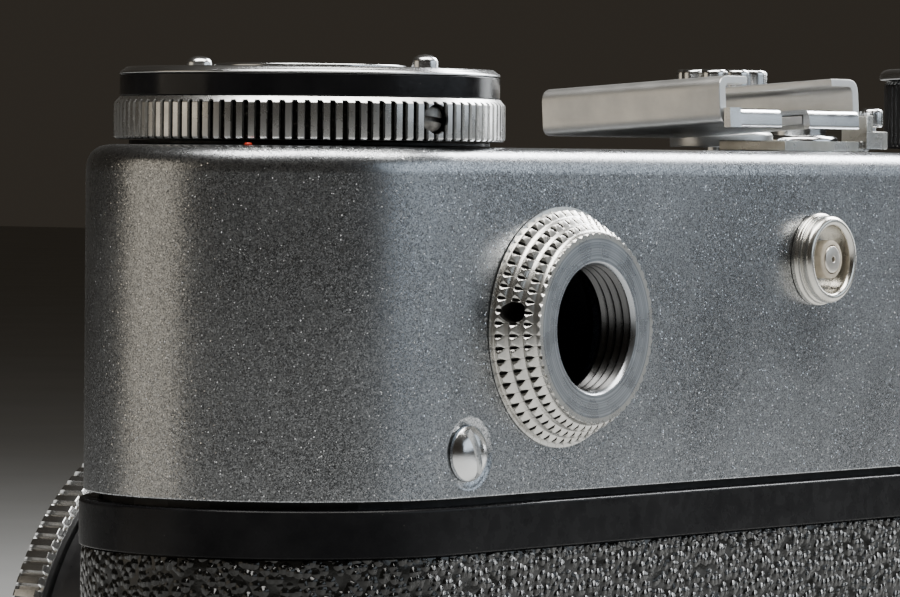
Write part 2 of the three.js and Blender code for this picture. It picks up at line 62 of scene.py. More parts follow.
# ---- Places taken from the frame, in millimetres ----

def span(node):
    """Lowest and highest corner of a CAD node, in millimetres."""
    low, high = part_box(node)
    return low / MM, high / MM


def centre(node):
    low, high = span(node)
    return (low + high) / 2


COVER_LOW, COVER_HIGH = span("top_cover")
COVER_TOP = COVER_HIGH.z
COVER_BOTTOM = COVER_LOW.z
MID_Y = (COVER_LOW.y + COVER_HIGH.y) / 2
END_RADIUS = (COVER_HIGH.y - COVER_LOW.y) / 2
END_X = COVER_HIGH.x - END_RADIUS
REAR_Y = COVER_HIGH.y
FRONT_Y = COVER_LOW.y
BACK_TOP = span("back_shell")[1].z
LEATHER_TOP = span("back_leatherette")[1].z
LEATHER_LOW = span("back_leatherette")[0].z
BASE_TOP = span("base_plate")[1].z
DIAL = centre("rewind_dial_ring")
WIND = centre("wind_knob")
SPEED = centre("speed_knob")
RELEASE = centre("release_button")
CLAMP = centre("shoe_clamp_screw")
SHOE = centre("accessory_shoe")
EYEPIECE = centre("eyepiece_ring")
SYNC = centre("sync_socket_shell")
SCREW_LEFT = centre("cover_screw_left")
SCREW_RIGHT = centre("cover_screw_right")
LENS = centre("lens_mount_ring")
LOCK_LEFT = centre("lock_key_left")
LOCK_RIGHT = centre("lock_key_right")
FINDER = centre("finder_window")
RANGEFINDER = centre("rangefinder_window")
DOT = centre("index_dot")
DIAL_FOOT = (DIAL.x, DIAL.y, COVER_TOP)


def upward(x, y, z):
    return Matrix.Translation((x, y, z))


def on_cover(spot):
    """On the cover's top, with local Z up."""
    return upward(spot.x, spot.y, COVER_TOP)


def rearward(x, z):
    """On the rear face. Local Z points to the rear of the camera, and local Y down."""
    return Matrix.Translation((x, REAR_Y, z)) @ Matrix.Rotation(-math.pi / 2, 4, "X")


def forward(x, z):
    """On the front face. Local Z points the way the lens looks, and local Y up."""
    return Matrix.Translation((x, FRONT_Y, z)) @ Matrix.Rotation(math.pi / 2, 4, "X")


BODY_MIDDLE = upward(0, MID_Y, 0)
FROM_MIDDLE = upward(0, -MID_Y, 0)


# ---- Mesh builders, in millimetres ----

def filleted(corners, closed=False, steps=4):
    """Rounds each (r, z, radius) corner of an outline. A corner given as (r, z) stays sharp."""
    out = []
    count = len(corners)
    for i, corner in enumerate(corners):
        point = Vector(corner[:2])
        radius = corner[2] if len(corner) > 2 else 0
        at_end = not closed and i in (0, count - 1)
        if radius == 0 or at_end:
            out.append((point.x, point.y))
            continue
        before = Vector(corners[i - 1][:2]) - point
        after = Vector(corners[(i + 1) % count][:2]) - point
        reach = min(radius, 0.48 * before.length, 0.48 * after.length)
        start = point + before.normalized() * reach
        end = point + after.normalized() * reach
        for k in range(steps + 1):
            t = k / steps
            place = start * (1 - t) ** 2 + point * 2 * t * (1 - t) + end * t * t
            out.append((place.x, place.y))
    return out


def revolve(outline, segments=96, closed=False, wave=None):
    """A solid turned about local Z. wave(turn, r, z) gives the radius at a share of a turn."""
    points, faces, rings = [], [], []
    for r, z in outline:
        if r < 1e-6:
            rings.append([len(points)] * segments)
            points.append((0, 0, z))
            continue
        rings.append(list(range(len(points), len(points) + segments)))
        for i in range(segments):
            turn = i / segments
            radius = wave(turn, r, z) if wave else r
            angle = TAU * turn
            points.append((radius * math.cos(angle), radius * math.sin(angle), z))
    pairs = list(zip(rings, rings[1:]))
    if closed:
        pairs.append((rings[-1], rings[0]))
    for low, high in pairs:
        for i in range(segments):
            j = (i + 1) % segments
            loop = [low[i], low[j], high[j], high[i]]
            kept = [v for k, v in enumerate(loop) if v != loop[k - 1]]
            if len(kept) > 2:
                faces.append(kept)
    return points, faces


END_STEPS = 40
STRAIGHT_STEPS = 24


def end_path(open_front=False):
    """Points and outward directions round the body: a long outline with two round ends."""
    ends = []
    for side in (1, -1):
        for i in range(END_STEPS + 1):
            angle = -math.pi / 2 + math.pi * i / END_STEPS + (math.pi if side < 0 else 0)
            ends.append((side * END_X, math.cos(angle), math.sin(angle)))
    shares = [k / STRAIGHT_STEPS for k in range(1, STRAIGHT_STEPS)]
    rear = [(END_X - 2 * END_X * share, 0, 1) for share in shares]
    front = [(-END_X + 2 * END_X * share, 0, -1) for share in shares]
    half = END_STEPS + 1
    path = ends[:half] + rear + ends[half:]
    return path if open_front else path + front


def around(outline, path, caps=False, closed_outline=False, closed_path=True):
    """Sweeps an (offset, z) outline along the body's path. caps closes both ends of the outline."""
    count = len(path)
    points = [(x + r * nx, r * ny, z) for r, z in outline for x, nx, ny in path]
    faces = []
    rows = list(range(len(outline)))
    pairs = list(zip(rows, rows[1:]))
    if closed_outline:
        pairs.append((rows[-1], rows[0]))
    last = count if closed_path else count - 1
    for a, b in pairs:
        for i in range(last):
            j = (i + 1) % count
            faces.append([a * count + i, a * count + j, b * count + j, b * count + i])
    if caps:
        faces.append([rows[0] * count + i for i in reversed(range(count))])
        faces.append([rows[-1] * count + i for i in range(count)])
    if closed_outline and not closed_path:
        faces.append([row * count for row in rows])
        faces.append([row * count + count - 1 for row in reversed(rows)])
    return points, faces


def extruded(outline, low, high):
    """A closed outline of (x, z) points pushed along y, as a closed prism."""
    count = len(outline)
    points = [(x, depth, z) for depth in (low, high) for x, z in outline]
    faces = [[i, (i + 1) % count, count + (i + 1) % count, count + i] for i in range(count)]
    faces.append(list(reversed(range(count))))
    faces.append([count + i for i in range(count)])
    return points, faces


def block(x0, x1, y0, y1, z0, z1):
    return extruded([(x0, z0), (x1, z0), (x1, z1), (x0, z1)], y0, y1)


def pin(radius, z0, z1, segments=40):
    return revolve([(0, z0), (radius, z0), (radius, z1), (0, z1)], segments)


def turned(corners, segments, wave=None, steps=4):
    """A turned solid whose outline starts and ends on its axis, with its corners rounded."""
    return revolve(filleted(corners, steps=steps), segments, wave=wave)


def ring(corners, segments, wave=None, steps=4):
    """A turned ring whose outline closes on itself, with its corners rounded."""
    return revolve(filleted(corners, closed=True, steps=steps), segments, closed=True, wave=wave)


def moved(shape, matrix):
    points, faces = shape
    return [tuple(matrix @ Vector(p)) for p in points], faces


def raw_object(name, shape):
    points, faces = shape
    mesh = bpy.data.meshes.new(name)
    mesh.from_pydata(points, [], faces)
    mesh.update()
    obj = bpy.data.objects.new(name, mesh)
    bpy.context.scene.collection.objects.link(obj)
    return obj


def tidy_normals(obj):
    """Makes every face of a closed mesh point outward."""
    work = bmesh.new()
    work.from_mesh(obj.data)
    bmesh.ops.recalc_face_normals(work, faces=work.faces)
    work.to_mesh(obj.data)
    work.free()


def settle(obj):
    """Applies an object's modifiers to its mesh."""
    graph = bpy.context.evaluated_depsgraph_get()
    final = bpy.data.meshes.new_from_object(obj.evaluated_get(graph))
    obj.modifiers.clear()
    obj.data = final


def cut(obj, shapes, operation="DIFFERENCE"):
    for shape in shapes:
        tool = raw_object("cutter", shape)
        tidy_normals(tool)
        modifier = obj.modifiers.new("cut", "BOOLEAN")
        modifier.operation = operation
        modifier.solver = "EXACT"
        modifier.object = tool
        settle(obj)
        bpy.data.objects.remove(tool)


BEVEL_STEPS = 2
BEVEL_FROM = math.radians(35)


def softened(obj, width):
    """Rounds an object's sharp edges with a small bevel, in millimetres."""
    modifier = obj.modifiers.new("bevel", "BEVEL")
    modifier.width = width
    modifier.segments = BEVEL_STEPS
    modifier.limit_method = "ANGLE"
    modifier.angle_limit = BEVEL_FROM
    modifier.harden_normals = False
    settle(obj)


def smoothed(mesh, angle):
    """Shades a mesh smooth, apart from edges sharper than an angle in degrees."""
    mesh.polygons.foreach_set("use_smooth", [True] * len(mesh.polygons))
    mesh.set_sharp_from_angle(angle=math.radians(angle))


def piece(name, node, look, shape, place, cuts=(), adds=(), bevel=0, sharp=32):
    """A finished piece in place of a CAD node: it rides on the node's body and wears the look it is
    given.

    The shape is built, added to, cut and bevelled in millimetres, and then scaled to metres.
    """
    obj = raw_object(name, shape)
    tidy_normals(obj)
    cut(obj, adds, "UNION")
    cut(obj, cuts)
    if bevel:
        softened(obj, bevel)
    obj.data.transform(Matrix.Scale(MM, 4) @ place)
    smoothed(obj.data, sharp)
    weighted = obj.modifiers.new("weighted", "WEIGHTED_NORMAL")
    weighted.keep_sharp = True
    settle(obj)
    obj.data.materials.clear()
    obj.data.materials.append(LOOKS[look])
    obj.name = name
    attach(obj, BODY_OF[node])
    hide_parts(node)


# ---- Camera, at the viewing angle of the photograph ----

VIEW_SIDE = Vector((0.7900, 0.6125, 0.0259)).normalized()
VIEW_ROLL = 0.0093
VIEW_DISTANCE = 413.05
VIEW_SHIFT_RIGHT = 11.08
VIEW_SHIFT_UP = -11.81
LENS_LENGTH = 211.3
SENSOR_WIDTH = 36
CLIP_START, CLIP_END = 0.01, 50


def make_camera():
    data = bpy.data.cameras.new("camera")
    data.lens = LENS_LENGTH
    data.sensor_width = SENSOR_WIDTH
    data.clip_start = CLIP_START
    data.clip_end = CLIP_END
    cam = bpy.data.objects.new("camera", data)
    bpy.context.scene.collection.objects.link(cam)
    right = (-VIEW_SIDE).cross(Vector((0, 0, 1))).normalized()
    up = right.cross(-VIEW_SIDE)
    target = Vector(DIAL_FOOT) + right * VIEW_SHIFT_RIGHT + Vector((0, 0, VIEW_SHIFT_UP))
    rolled_right = right * math.cos(VIEW_ROLL) + up * math.sin(VIEW_ROLL)
    rolled_up = up * math.cos(VIEW_ROLL) - right * math.sin(VIEW_ROLL)
    turn = Matrix((rolled_right, rolled_up, VIEW_SIDE)).transposed().to_4x4()
    cam.matrix_world = Matrix.Translation((target + VIEW_SIDE * VIEW_DISTANCE) * MM) @ turn
    bpy.context.scene.camera = cam


make_camera()


# ---- Materials ----

NOISE_ROUGHNESS = 0.55
MASK_EDGE = 0.08


class Look:
    """A procedural material, with short ways to add nodes. Texture sizes are in millimetres."""

    def __init__(self, name, color, roughness, metallic=0.0):
        self.material = bpy.data.materials.new(name)
        self.material.use_nodes = True
        self.nodes = self.material.node_tree.nodes
        self.links = self.material.node_tree.links
        self.shader = self.nodes["Principled BSDF"]
        self.shader.inputs["Base Color"].default_value = (*color, 1)
        self.shader.inputs["Roughness"].default_value = roughness
        self.shader.inputs["Metallic"].default_value = metallic
        self.place = self.nodes.new("ShaderNodeTexCoord").outputs["Object"]
        self.normal = None

    def add(self, kind, inputs, **options):
        """A node with its options and inputs set, each input to an output or a plain value."""
        node = self.nodes.new("ShaderNode" + kind)
        for key, value in options.items():
            setattr(node, key, value)
        for key, value in inputs.items():
            if isinstance(value, bpy.types.NodeSocket):
                self.links.new(value, node.inputs[key])
            else:
                node.inputs[key].default_value = value
        return node.outputs

    def vector(self, operation, a, b=(0, 0, 0)):
        return self.add("VectorMath", {0: a, 1: b}, operation=operation)[0]

    def math(self, operation, *values):
        return self.add("Math", dict(enumerate(values)), operation=operation)[0]

    def shifted(self, origin):
        """X, Y and Z measured from a point given in millimetres."""
        place = self.vector("SUBTRACT", self.place, Vector(origin) * MM)
        return self.add("SeparateXYZ", {0: place})

    def noise(self, size, detail=3, stretch=None):
        """Noise whose features are about size millimetres across."""
        place = self.vector("MULTIPLY", self.place, stretch) if stretch else self.place
        inputs = {"Vector": place, "Scale": 1 / (size * MM), "Detail": detail}
        return self.add("TexNoise", {**inputs, "Roughness": NOISE_ROUGHNESS})["Fac"]

    def cells(self, size, output="Distance"):
        """Cells about size millimetres across."""
        inputs = {"Vector": self.place, "Scale": 1 / (size * MM)}
        return self.add("TexVoronoi", inputs)[output]

    def smooth_cells(self, size, smoothness):
        """Distance from the middle of cells that run into each other softly."""
        inputs = {"Vector": self.place, "Scale": 1 / (size * MM), "Smoothness": smoothness}
        return self.add("TexVoronoi", inputs, feature="SMOOTH_F1")["Distance"]

    def ranged(self, value, low, high, to_low, to_high):
        """Maps a value's range from low to high onto another one, and clamps it there."""
        inputs = {"Value": value, "From Min": low, "From Max": high}
        return self.add("MapRange", {**inputs, "To Min": to_low, "To Max": to_high})["Result"]

    def ramp(self, value, *stops):
        """Turns a value into a colour that runs through (position, colour) stops."""
        node = self.nodes.new("ShaderNodeValToRGB")
        elements = node.color_ramp.elements
        while len(elements) < len(stops):
            elements.new(0.5)
        for element, (position, color) in zip(elements, stops):
            element.position = position
            element.color = (*color, 1)
        self.links.new(value, node.inputs["Fac"])
        return node.outputs["Color"]

    def mix(self, factor, a, b):
        """Blends two colours, each an output or a plain colour."""
        a, b = [(*c, 1) if isinstance(c, tuple) else c for c in (a, b)]
        return self.add("Mix", {0: factor, 6: a, 7: b}, data_type="RGBA")[2]

    def color(self, source):
        self.links.new(source, self.shader.inputs["Base Color"])

    def rough(self, source):
        self.links.new(source, self.shader.inputs["Roughness"])

    def face_along(self, normal):
        """Shades the surface along a normal, which the next bump builds on."""
        self.normal = normal
        self.links.new(normal, self.shader.inputs["Normal"])

    def bump(self, height, depth):
        """Adds a bump of the given depth in millimetres, over any bump already there."""
        inputs = {"Strength": 1.0, "Distance": depth * MM, "Height": height}
        if self.normal is not None:
            inputs["Normal"] = self.normal
        self.face_along(self.add("Bump", inputs)["Normal"])

    def set(self, socket, value):
        """Sets a shader input to a plain value."""
        self.shader.inputs[socket].default_value = value

    def tilt_grains(self, size, spread, glint_spread, glint):
        """Tilts every grain of the surface a little, and the glinting ones more, to catch light."""
        tilt = self.vector("SUBTRACT", self.cells(size, output="Color"), (0.5, 0.5, 0.5))
        amount = self.ranged(glint, 0, 1, spread, glint_spread)
        tilt = self.add("VectorMath", {0: tilt, "Scale": amount}, operation="SCALE")[0]
        flat = self.add("NewGeometry", {})["Normal"]
        self.face_along(self.vector("NORMALIZE", self.vector("ADD", flat, tilt)))

    def along(self, origin, axis):
        """Place in metres along an axis through origin."""
        return self.shifted(origin)[axis.upper()]

    def below(self, value, low, high):
        """1 where a length is under low millimetres and 0 where it is over high."""
        return self.ranged(value, low * MM, high * MM, 1.0, 0.0)

    def above(self, value, low, high):
        """0 where a length is under low millimetres and 1 where it is over high."""
        return self.ranged(value, low * MM, high * MM, 0.0, 1.0)

    def groove_mask(self, origin, axis, floor, land, low, high):
        """1 in the grooves of a knurled rim and 0 on its lands, between two heights on its axis."""
        deep = self.below(self.radius_about(origin, axis), floor, land)
        place = self.along(origin, axis)
        over = self.above(place, low, low + MASK_EDGE)
        under = self.below(place, high - MASK_EDGE, high)
        return self.math("MULTIPLY", deep, self.math("MULTIPLY", over, under))

    def angle_about(self, origin):
        """Angle round an axis along y, from +x towards -z, in radians and never negative."""
        across = self.shifted(origin)
        down = self.math("MULTIPLY", across["Z"], -1.0)
        return self.math("ADD", self.math("ARCTAN2", down, across["X"]), TAU)

    def radius_about(self, origin, axis):
        """Distance in metres from an axis through origin, which lies along x, y or z."""
        across = self.shifted(origin)
        a, b = [across[name] for name in "XYZ" if name.lower() != axis]
        squares = self.math("ADD", self.math("MULTIPLY", a, a), self.math("MULTIPLY", b, b))
        return self.math("SQRT", squares)

    def rings(self, radius, pitch):
        """Noise that changes only with the distance from an axis, as lathe marks do."""
        inputs = {"W": radius, "Scale": 1 / (pitch * MM), "Detail": 2}
        return self.add("TexNoise", inputs, noise_dimensions="1D")["Fac"]

    def turning_marks(self, origin, axis, pitch, depth):
        """Fine rings left by a lathe round an axis."""
        self.bump(self.rings(self.radius_about(origin, axis), pitch), depth)


GRAIN_SIZE = 0.08
PEBBLE_SIZE = 0.68


def mottled(name, metallic, dark, light, patch, roughness, grain, depth, stretch=None, top=0.7):
    """Two tones in soft patches of a size and detail, under a fine grain of a size and depth.

    Sizes are in millimetres. roughness is a number, or its values in the dark and light patches.
    """
    look = Look(name, light, 0.5, metallic)
    cloud = look.noise(*patch)
    look.color(look.ramp(cloud, (0.3, dark), (top, light)))
    if isinstance(roughness, tuple):
        look.rough(look.ranged(cloud, 0.3, 0.7, *roughness))
    else:
        look.set("Roughness", roughness)
    look.bump(look.noise(grain, stretch=stretch), depth)
    return look.material


def satin_metal():
    """Bead-blasted chrome over brass: a fine sparkling grain with faint handling marks, and painted
    highlights on a few glinting grains.
    """
    look = Look("satin_metal", (0.40, 0.42, 0.45), 0.36, 1.0)
    cloud = look.noise(11, detail=5)
    pick = look.add("SeparateXYZ", {0: look.cells(GRAIN_SIZE, output="Color")})[0]
    dark = look.ramp(cloud, (0.32, (0.12, 0.127, 0.137)), (0.68, (0.17, 0.178, 0.19)))
    tone = look.mix(pick, dark, (0.62, 0.64, 0.665))
    glint = look.ranged(pick, 0.982, 0.992, 0, 1)
    look.tilt_grains(GRAIN_SIZE, 0.10, 0.45, glint)
    speck = look.ranged(look.cells(2.6), 0.0, 0.045, 1.0, 0.0)
    # Painted highlight: glinting grains get a near-white colour as well as their tilt.
    tone = look.mix(glint, tone, (0.95, 0.97, 1.0))
    look.color(look.mix(speck, tone, (0.05, 0.045, 0.04)))
    base = look.ranged(cloud, 0.3, 0.7, 0.25, 0.30)
    look.rough(look.math("SUBTRACT", base, look.math("MULTIPLY", glint, 0.12)))
    return look.material


def bright_chrome():
    look = Look("bright_chrome", (0.78, 0.79, 0.80), 0.16, 1.0)
    look.rough(look.ranged(look.noise(2.2, detail=4), 0.3, 0.7, 0.12, 0.26))
    look.bump(look.noise(0.12, detail=2), 0.004)
    look.bump(look.noise(1.5, stretch=(1, 14, 14)), 0.003)
    return look.material


def steel():
    look = Look("steel", (0.20, 0.19, 0.18), 0.4, 1.0)
    tone = look.noise(0.7, detail=4)
    look.color(look.ramp(tone, (0.35, (0.10, 0.095, 0.09)), (0.7, (0.28, 0.27, 0.25))))
    look.rough(look.ranged(look.noise(1.0), 0.3, 0.7, 0.34, 0.5))
    look.bump(look.noise(0.3, stretch=(1, 1, 12)), 0.006)
    return look.material


def cast_alloy():
    look = Look("cast_alloy", (0.045, 0.045, 0.047), 0.52, 0.3)
    tone = look.noise(1.2, detail=5)
    look.color(look.ramp(tone, (0.3, (0.036, 0.036, 0.038)), (0.7, (0.054, 0.054, 0.056))))
    look.rough(look.ranged(look.noise(4, detail=4), 0.3, 0.7, 0.46, 0.6))
    look.bump(look.noise(0.4, detail=4), 0.03)
    return look.material


def dusty_black(name, roughness, dust=0.5, gloss=0.5):
    """Black paint or anodising with a few specks of dust and fine scratches."""
    look = Look(name, (0.008, 0.008, 0.009), roughness, 0.0)
    speck = look.ranged(look.cells(0.9), 0.0, 0.055, 1.0, 0.0)
    gate = look.ranged(look.noise(3.0), 0.5, 0.62, 0.0, dust)
    amount = look.math("MULTIPLY", speck, gate)
    haze = look.noise(6, detail=4)
    haze = look.ramp(haze, (0.35, (0.006, 0.006, 0.007)), (0.8, (0.016, 0.016, 0.017)))
    look.color(look.mix(amount, haze, (0.42, 0.40, 0.36)))
    handled = look.noise(1.2, detail=4)
    look.rough(look.ranged(handled, 0.3, 0.75, roughness * 0.8, roughness * 1.5))
    look.bump(look.noise(0.4, detail=3), 0.006)
    look.set("Specular IOR Level", gloss)
    return look.material


def black_plastic():
    look = Look("black_plastic", (0.02, 0.02, 0.02), 0.55)
    look.rough(look.ranged(look.noise(1.5), 0.3, 0.7, 0.45, 0.7))
    look.bump(look.noise(0.25), 0.01)
    return look.material


def leatherette():
    """Glossy black pebbled covering, with a little dust caught between the pebbles."""
    look = Look("leatherette", (0.006, 0.006, 0.006), 0.18)
    pebble = look.smooth_cells(PEBBLE_SIZE, 0.25)
    crease = look.ranged(pebble, 0.42, 0.62, 0.0, 0.15)
    wear = look.noise(9, detail=4)
    tone = look.ramp(wear, (0.3, (0.004, 0.004, 0.004)), (0.75, (0.010, 0.010, 0.009)))
    look.color(look.mix(crease, tone, (0.030, 0.029, 0.026)))
    look.rough(look.ranged(look.noise(0.8, detail=3), 0.3, 0.7, 0.12, 0.22))
    look.bump(look.ranged(pebble, 0.0, 0.65, 1.0, 0.0), 0.36)
    look.bump(look.noise(0.2, detail=2), 0.010)
    look.set("Specular IOR Level", 0.5)
    return look.material


def shutter_cloth():
    look = Look("shutter_cloth", (0.02, 0.02, 0.021), 0.9)
    look.bump(look.noise(0.25, detail=2), 0.03)
    look.set("Sheen Weight", 0.2)
    return look.material


def optical_glass():
    look = Look("optical_glass", (0.62, 0.72, 0.80), 0.03)
    look.set("Transmission Weight", 1.0)
    look.set("IOR", 1.5)
    look.set("Coat Weight", 0.4)
    look.set("Coat Tint", (0.75, 0.7, 1.0, 1.0))
    look.bump(look.noise(6), 0.002)
    return look.material


def turned_alloy(name, origin, axis, color, roughness, grooves=None, wear=0.2, marks=0.012):
    """Bare metal with lathe rings round its axis. If grooves are given, its knurling is darkened
    with dirt and painted shade.
    """
    look = Look(name, color, roughness, 1.0)
    smear = look.noise(2.0, detail=5)
    dark = tuple((1 - wear) * c for c in color)
    light = tuple(min(1.0, (1 + 0.5 * wear) * c) for c in color)
    tone = look.ramp(smear, (0.3, dark), (0.7, light))
    rough = look.ranged(smear, 0.3, 0.7, roughness * (1 + wear), roughness * (1 - 0.7 * wear))
    if grooves:
        # Painted shade: the grooves are coloured near black, with a few lighter crumbs of dirt.
        mask = look.groove_mask(origin, axis, *grooves)
        crumbs = look.ranged(look.noise(0.25, detail=2), 0.58, 0.7, 0.0, 0.25)
        dirt_and_painted_shade = look.mix(crumbs, (0.012, 0.011, 0.010), (0.4, 0.38, 0.33))
        tone = look.mix(mask, tone, dirt_and_painted_shade)
        rough = look.math("ADD", rough, look.math("MULTIPLY", mask, 0.35))
    look.color(tone)
    look.rough(rough)
    look.turning_marks(origin, axis, 0.12, marks)
    return look.material


# ---- Top cover and what is fixed in it ----

COVER_WALL = 1
COVER_ROOF = 1.2
COVER_FOLD = 2.1
FOLD_REACH = 6


def top_cover():
    radius = END_RADIUS
    outline = filleted([
        (radius - FOLD_REACH, COVER_TOP - COVER_ROOF),
        (radius - COVER_WALL, COVER_TOP - COVER_ROOF, 1.6),
        (radius - COVER_WALL, COVER_BOTTOM, 0.1),
        (radius, COVER_BOTTOM, 0.14),
        (radius, COVER_TOP, COVER_FOLD),
        (radius - FOLD_REACH, COVER_TOP),
    ], steps=8)
    shape = around(outline, end_path(), caps=True)

    def up(radius_of_hole, place):
        return moved(pin(radius_of_hole, 70, 90), FROM_MIDDLE @ upward(place.x, place.y, 0))

    def back(radius_of_hole, place):
        return moved(pin(radius_of_hole, -3, 4, 64), FROM_MIDDLE @ rearward(place.x, place.z))

    def dimple(place):
        bowl = turned([(0, -0.34), (2.3, -0.34, 0.4), (3.0, 0.06), (3.0, 1), (0, 1)], 64)
        return moved(bowl, FROM_MIDDLE @ rearward(place.x, place.z))

    window = block(-7.5, 7.5, -3, 3, -5, 5)
    window = moved(window, FROM_MIDDLE @ upward(FINDER.x, FRONT_Y, FINDER.z))
    small = moved(pin(4, -3, 3), FROM_MIDDLE @ forward(RANGEFINDER.x, RANGEFINDER.z))
    cuts = [
        up(3.2, DIAL), up(3.2, WIND), up(2.0, SPEED), up(2.8, RELEASE),
        dimple(SCREW_LEFT), dimple(SCREW_RIGHT), back(1.6, SCREW_LEFT), back(1.6, SCREW_RIGHT),
        back(5.6, EYEPIECE), back(3.1, SYNC), window, small,
    ]
    piece("cover_shell", "top_cover", "satin_metal", shape, BODY_MIDDLE, cuts)


def cover_screw(name, place, node, slot_turn):
    screw = turned([
        (0, -3), (1.3, -3), (1.3, -0.26), (2.17, -0.26), (2.17, 0.02, 0.08), (1.6, 0.5, 0.5),
        (0.8, 0.76, 0.4), (0, 0.78),
    ], 72)
    turn = Matrix.Rotation(math.radians(slot_turn), 4, "Z")
    slot = moved(block(-0.36, 0.36, -3, 3, 0.22, 2), turn)
    piece(name, node, "bright_chrome", screw, rearward(place.x, place.z), [slot], bevel=0.03)


EYE_BASE = 9.4
EYE_FACE = 7.45
EYE_DEPTH = 3.48
EYE_BORE = 4.95
EYE_NOTCHES = 57
EYE_LEVELS = 60
EYE_FOOT = (EYEPIECE.x, REAR_Y, EYEPIECE.z)
EYE_HOLE_RISE = 1.35
EYE_HOLE_DEPTH = 1.55
EYE_THREAD_PITCH, EYE_THREAD_DEPTH = 0.72, 0.3
# Height of each row, half its width, and how far it stands above the cone.
EYE_ROWS = ((0.62, 0.36, 0.34), (1.62, 0.36, 0.34), (2.60, 0.36, 0.32), (3.48, 0.3, 0.16))


def eyepiece_wave(turn, r, z):
    """A cone with raised rows, each crossed by V notches that leave a ring of small pyramids."""
    if r < EYE_FACE - 0.4 or z < 0.17:
        return r
    cone = EYE_BASE - 0.36 + (EYE_FACE - EYE_BASE + 0.2) * (z - 0.17) / (EYE_DEPTH - 0.17)
    rise = 0.0
    for height, half, tall in EYE_ROWS:
        ridge = tall * max(0.0, 1 - (abs(z - height) / half) ** 1.4)
        across = abs((turn * EYE_NOTCHES) % 1 - 0.5)
        rise = max(rise, min(ridge, tall * (0.04 + across / 0.36)))
    return cone + rise


def notch_mask(look, radius, height):
    """1 in the notches between the small pyramids of the eyepiece ring's rows."""
    turn = look.math("MULTIPLY", look.angle_about(EYE_FOOT), EYE_NOTCHES / TAU)
    middle = look.math("ABSOLUTE", look.math("SUBTRACT", look.math("FRACT", turn), 0.5))
    rows = None
    for row, half, _ in EYE_ROWS[:3]:
        away = look.math("ABSOLUTE", look.math("SUBTRACT", height, row * MM))
        band = look.ranged(away, 0.55 * half * MM, 0.9 * half * MM, 0.17, 0.03)
        rows = band if rows is None else look.math("MAXIMUM", rows, band)
    inside = look.ranged(look.math("SUBTRACT", rows, middle), 0.0, 0.04, 0.0, 1.0)
    return look.math("MULTIPLY", inside, look.above(radius, EYE_FACE - 0.4, EYE_FACE - 0.3))


def bore_mask(look, radius, height):
    """1 in the eyepiece ring's threaded bore."""
    inside = look.below(radius, EYE_BORE + 0.32, EYE_BORE + 0.4)
    return look.math("MULTIPLY", inside, look.below(height, EYE_DEPTH - 0.45, EYE_DEPTH - 0.35))


def screw_hole_mask(look):
    """1 in the small screw hole in the side of the eyepiece ring."""
    hole = (EYEPIECE.x, REAR_Y + EYE_HOLE_DEPTH, EYEPIECE.z + EYE_HOLE_RISE)
    inside = look.below(look.radius_about(hole, "x"), 0.82, 0.86)
    return look.math("MULTIPLY", inside, look.above(look.along(hole, "x"), 5.2, 5.4))


def eyepiece_metal():
    """Turned metal with dirt and painted shade in its notches and side screw hole, a threaded bore
    coloured dark, and a painted reflection on its face.
    """
    look = Look("eyepiece_metal", (0.72, 0.71, 0.68), 0.27, 1.0)
    radius = look.radius_about(EYE_FOOT, "y")
    height = look.along(EYE_FOOT, "y")
    smear = look.noise(2.0, detail=5)
    tone = look.ramp(smear, (0.3, (0.62, 0.61, 0.58)), (0.7, (0.76, 0.75, 0.72)))
    # Painted reflection: the face's lathe rings are coloured darker and bluer than the cone, for
    # the cool light the face mirrors.
    face = look.ranged(radius, (EYE_FACE - 0.5) * MM, (EYE_FACE - 0.4) * MM, 0.85, 0.0)
    rings = look.rings(radius, 0.16)
    rings = look.ramp(rings, (0.35, (0.33, 0.36, 0.40)), (0.65, (0.58, 0.61, 0.65)))
    tone = look.mix(face, tone, rings)
    bore = look.math("MULTIPLY", bore_mask(look, radius, height), 0.8)
    tone = look.mix(bore, tone, (0.035, 0.030, 0.025))
    # Painted shade: the notches and the side screw hole are coloured near black, the notches also
    # for dirt.
    dirt_and_painted_shade = look.math("MAXIMUM", notch_mask(look, radius, height), screw_hole_mask(look))
    look.color(look.mix(look.math("MULTIPLY", dirt_and_painted_shade, 0.97), tone, (0.012, 0.011, 0.010)))
    rough = look.ranged(smear, 0.3, 0.7, 0.32, 0.24)
    look.rough(look.math("ADD", rough, look.math("MULTIPLY", dirt_and_painted_shade, 0.5)))
    look.bump(look.rings(radius, 0.3), 0.010)
    return look.material


def eyepiece_outline():
    """Outline of the eyepiece ring: its cone in fine levels, its face and its threaded bore."""
    outer = [(EYE_BASE, 0.06), (EYE_BASE, 0.14)]
    for i in range(EYE_LEVELS + 1):
        outer.append((EYE_BASE - 0.1, 0.18 + (EYE_DEPTH - 0.18) * i / EYE_LEVELS))
    face = [(EYE_FACE - 0.45, EYE_DEPTH), (6.2, EYE_DEPTH), (EYE_BORE + 0.25, EYE_DEPTH)]
    bore = [
        (EYE_BORE + 0.2, EYE_DEPTH - 0.03),
        (EYE_BORE + 0.02, EYE_DEPTH - 0.28),
        (EYE_BORE, EYE_DEPTH - 0.34),
    ]
    height = EYE_DEPTH - 0.4
    while height > 0.8:
        bore += [
            (EYE_BORE + EYE_THREAD_DEPTH, height - EYE_THREAD_PITCH * 0.42),
            (EYE_BORE, height - EYE_THREAD_PITCH * 0.84),
            (EYE_BORE, height - EYE_THREAD_PITCH),
        ]
        height -= EYE_THREAD_PITCH
    return outer + face + bore + [(EYE_BORE, 0.06)]


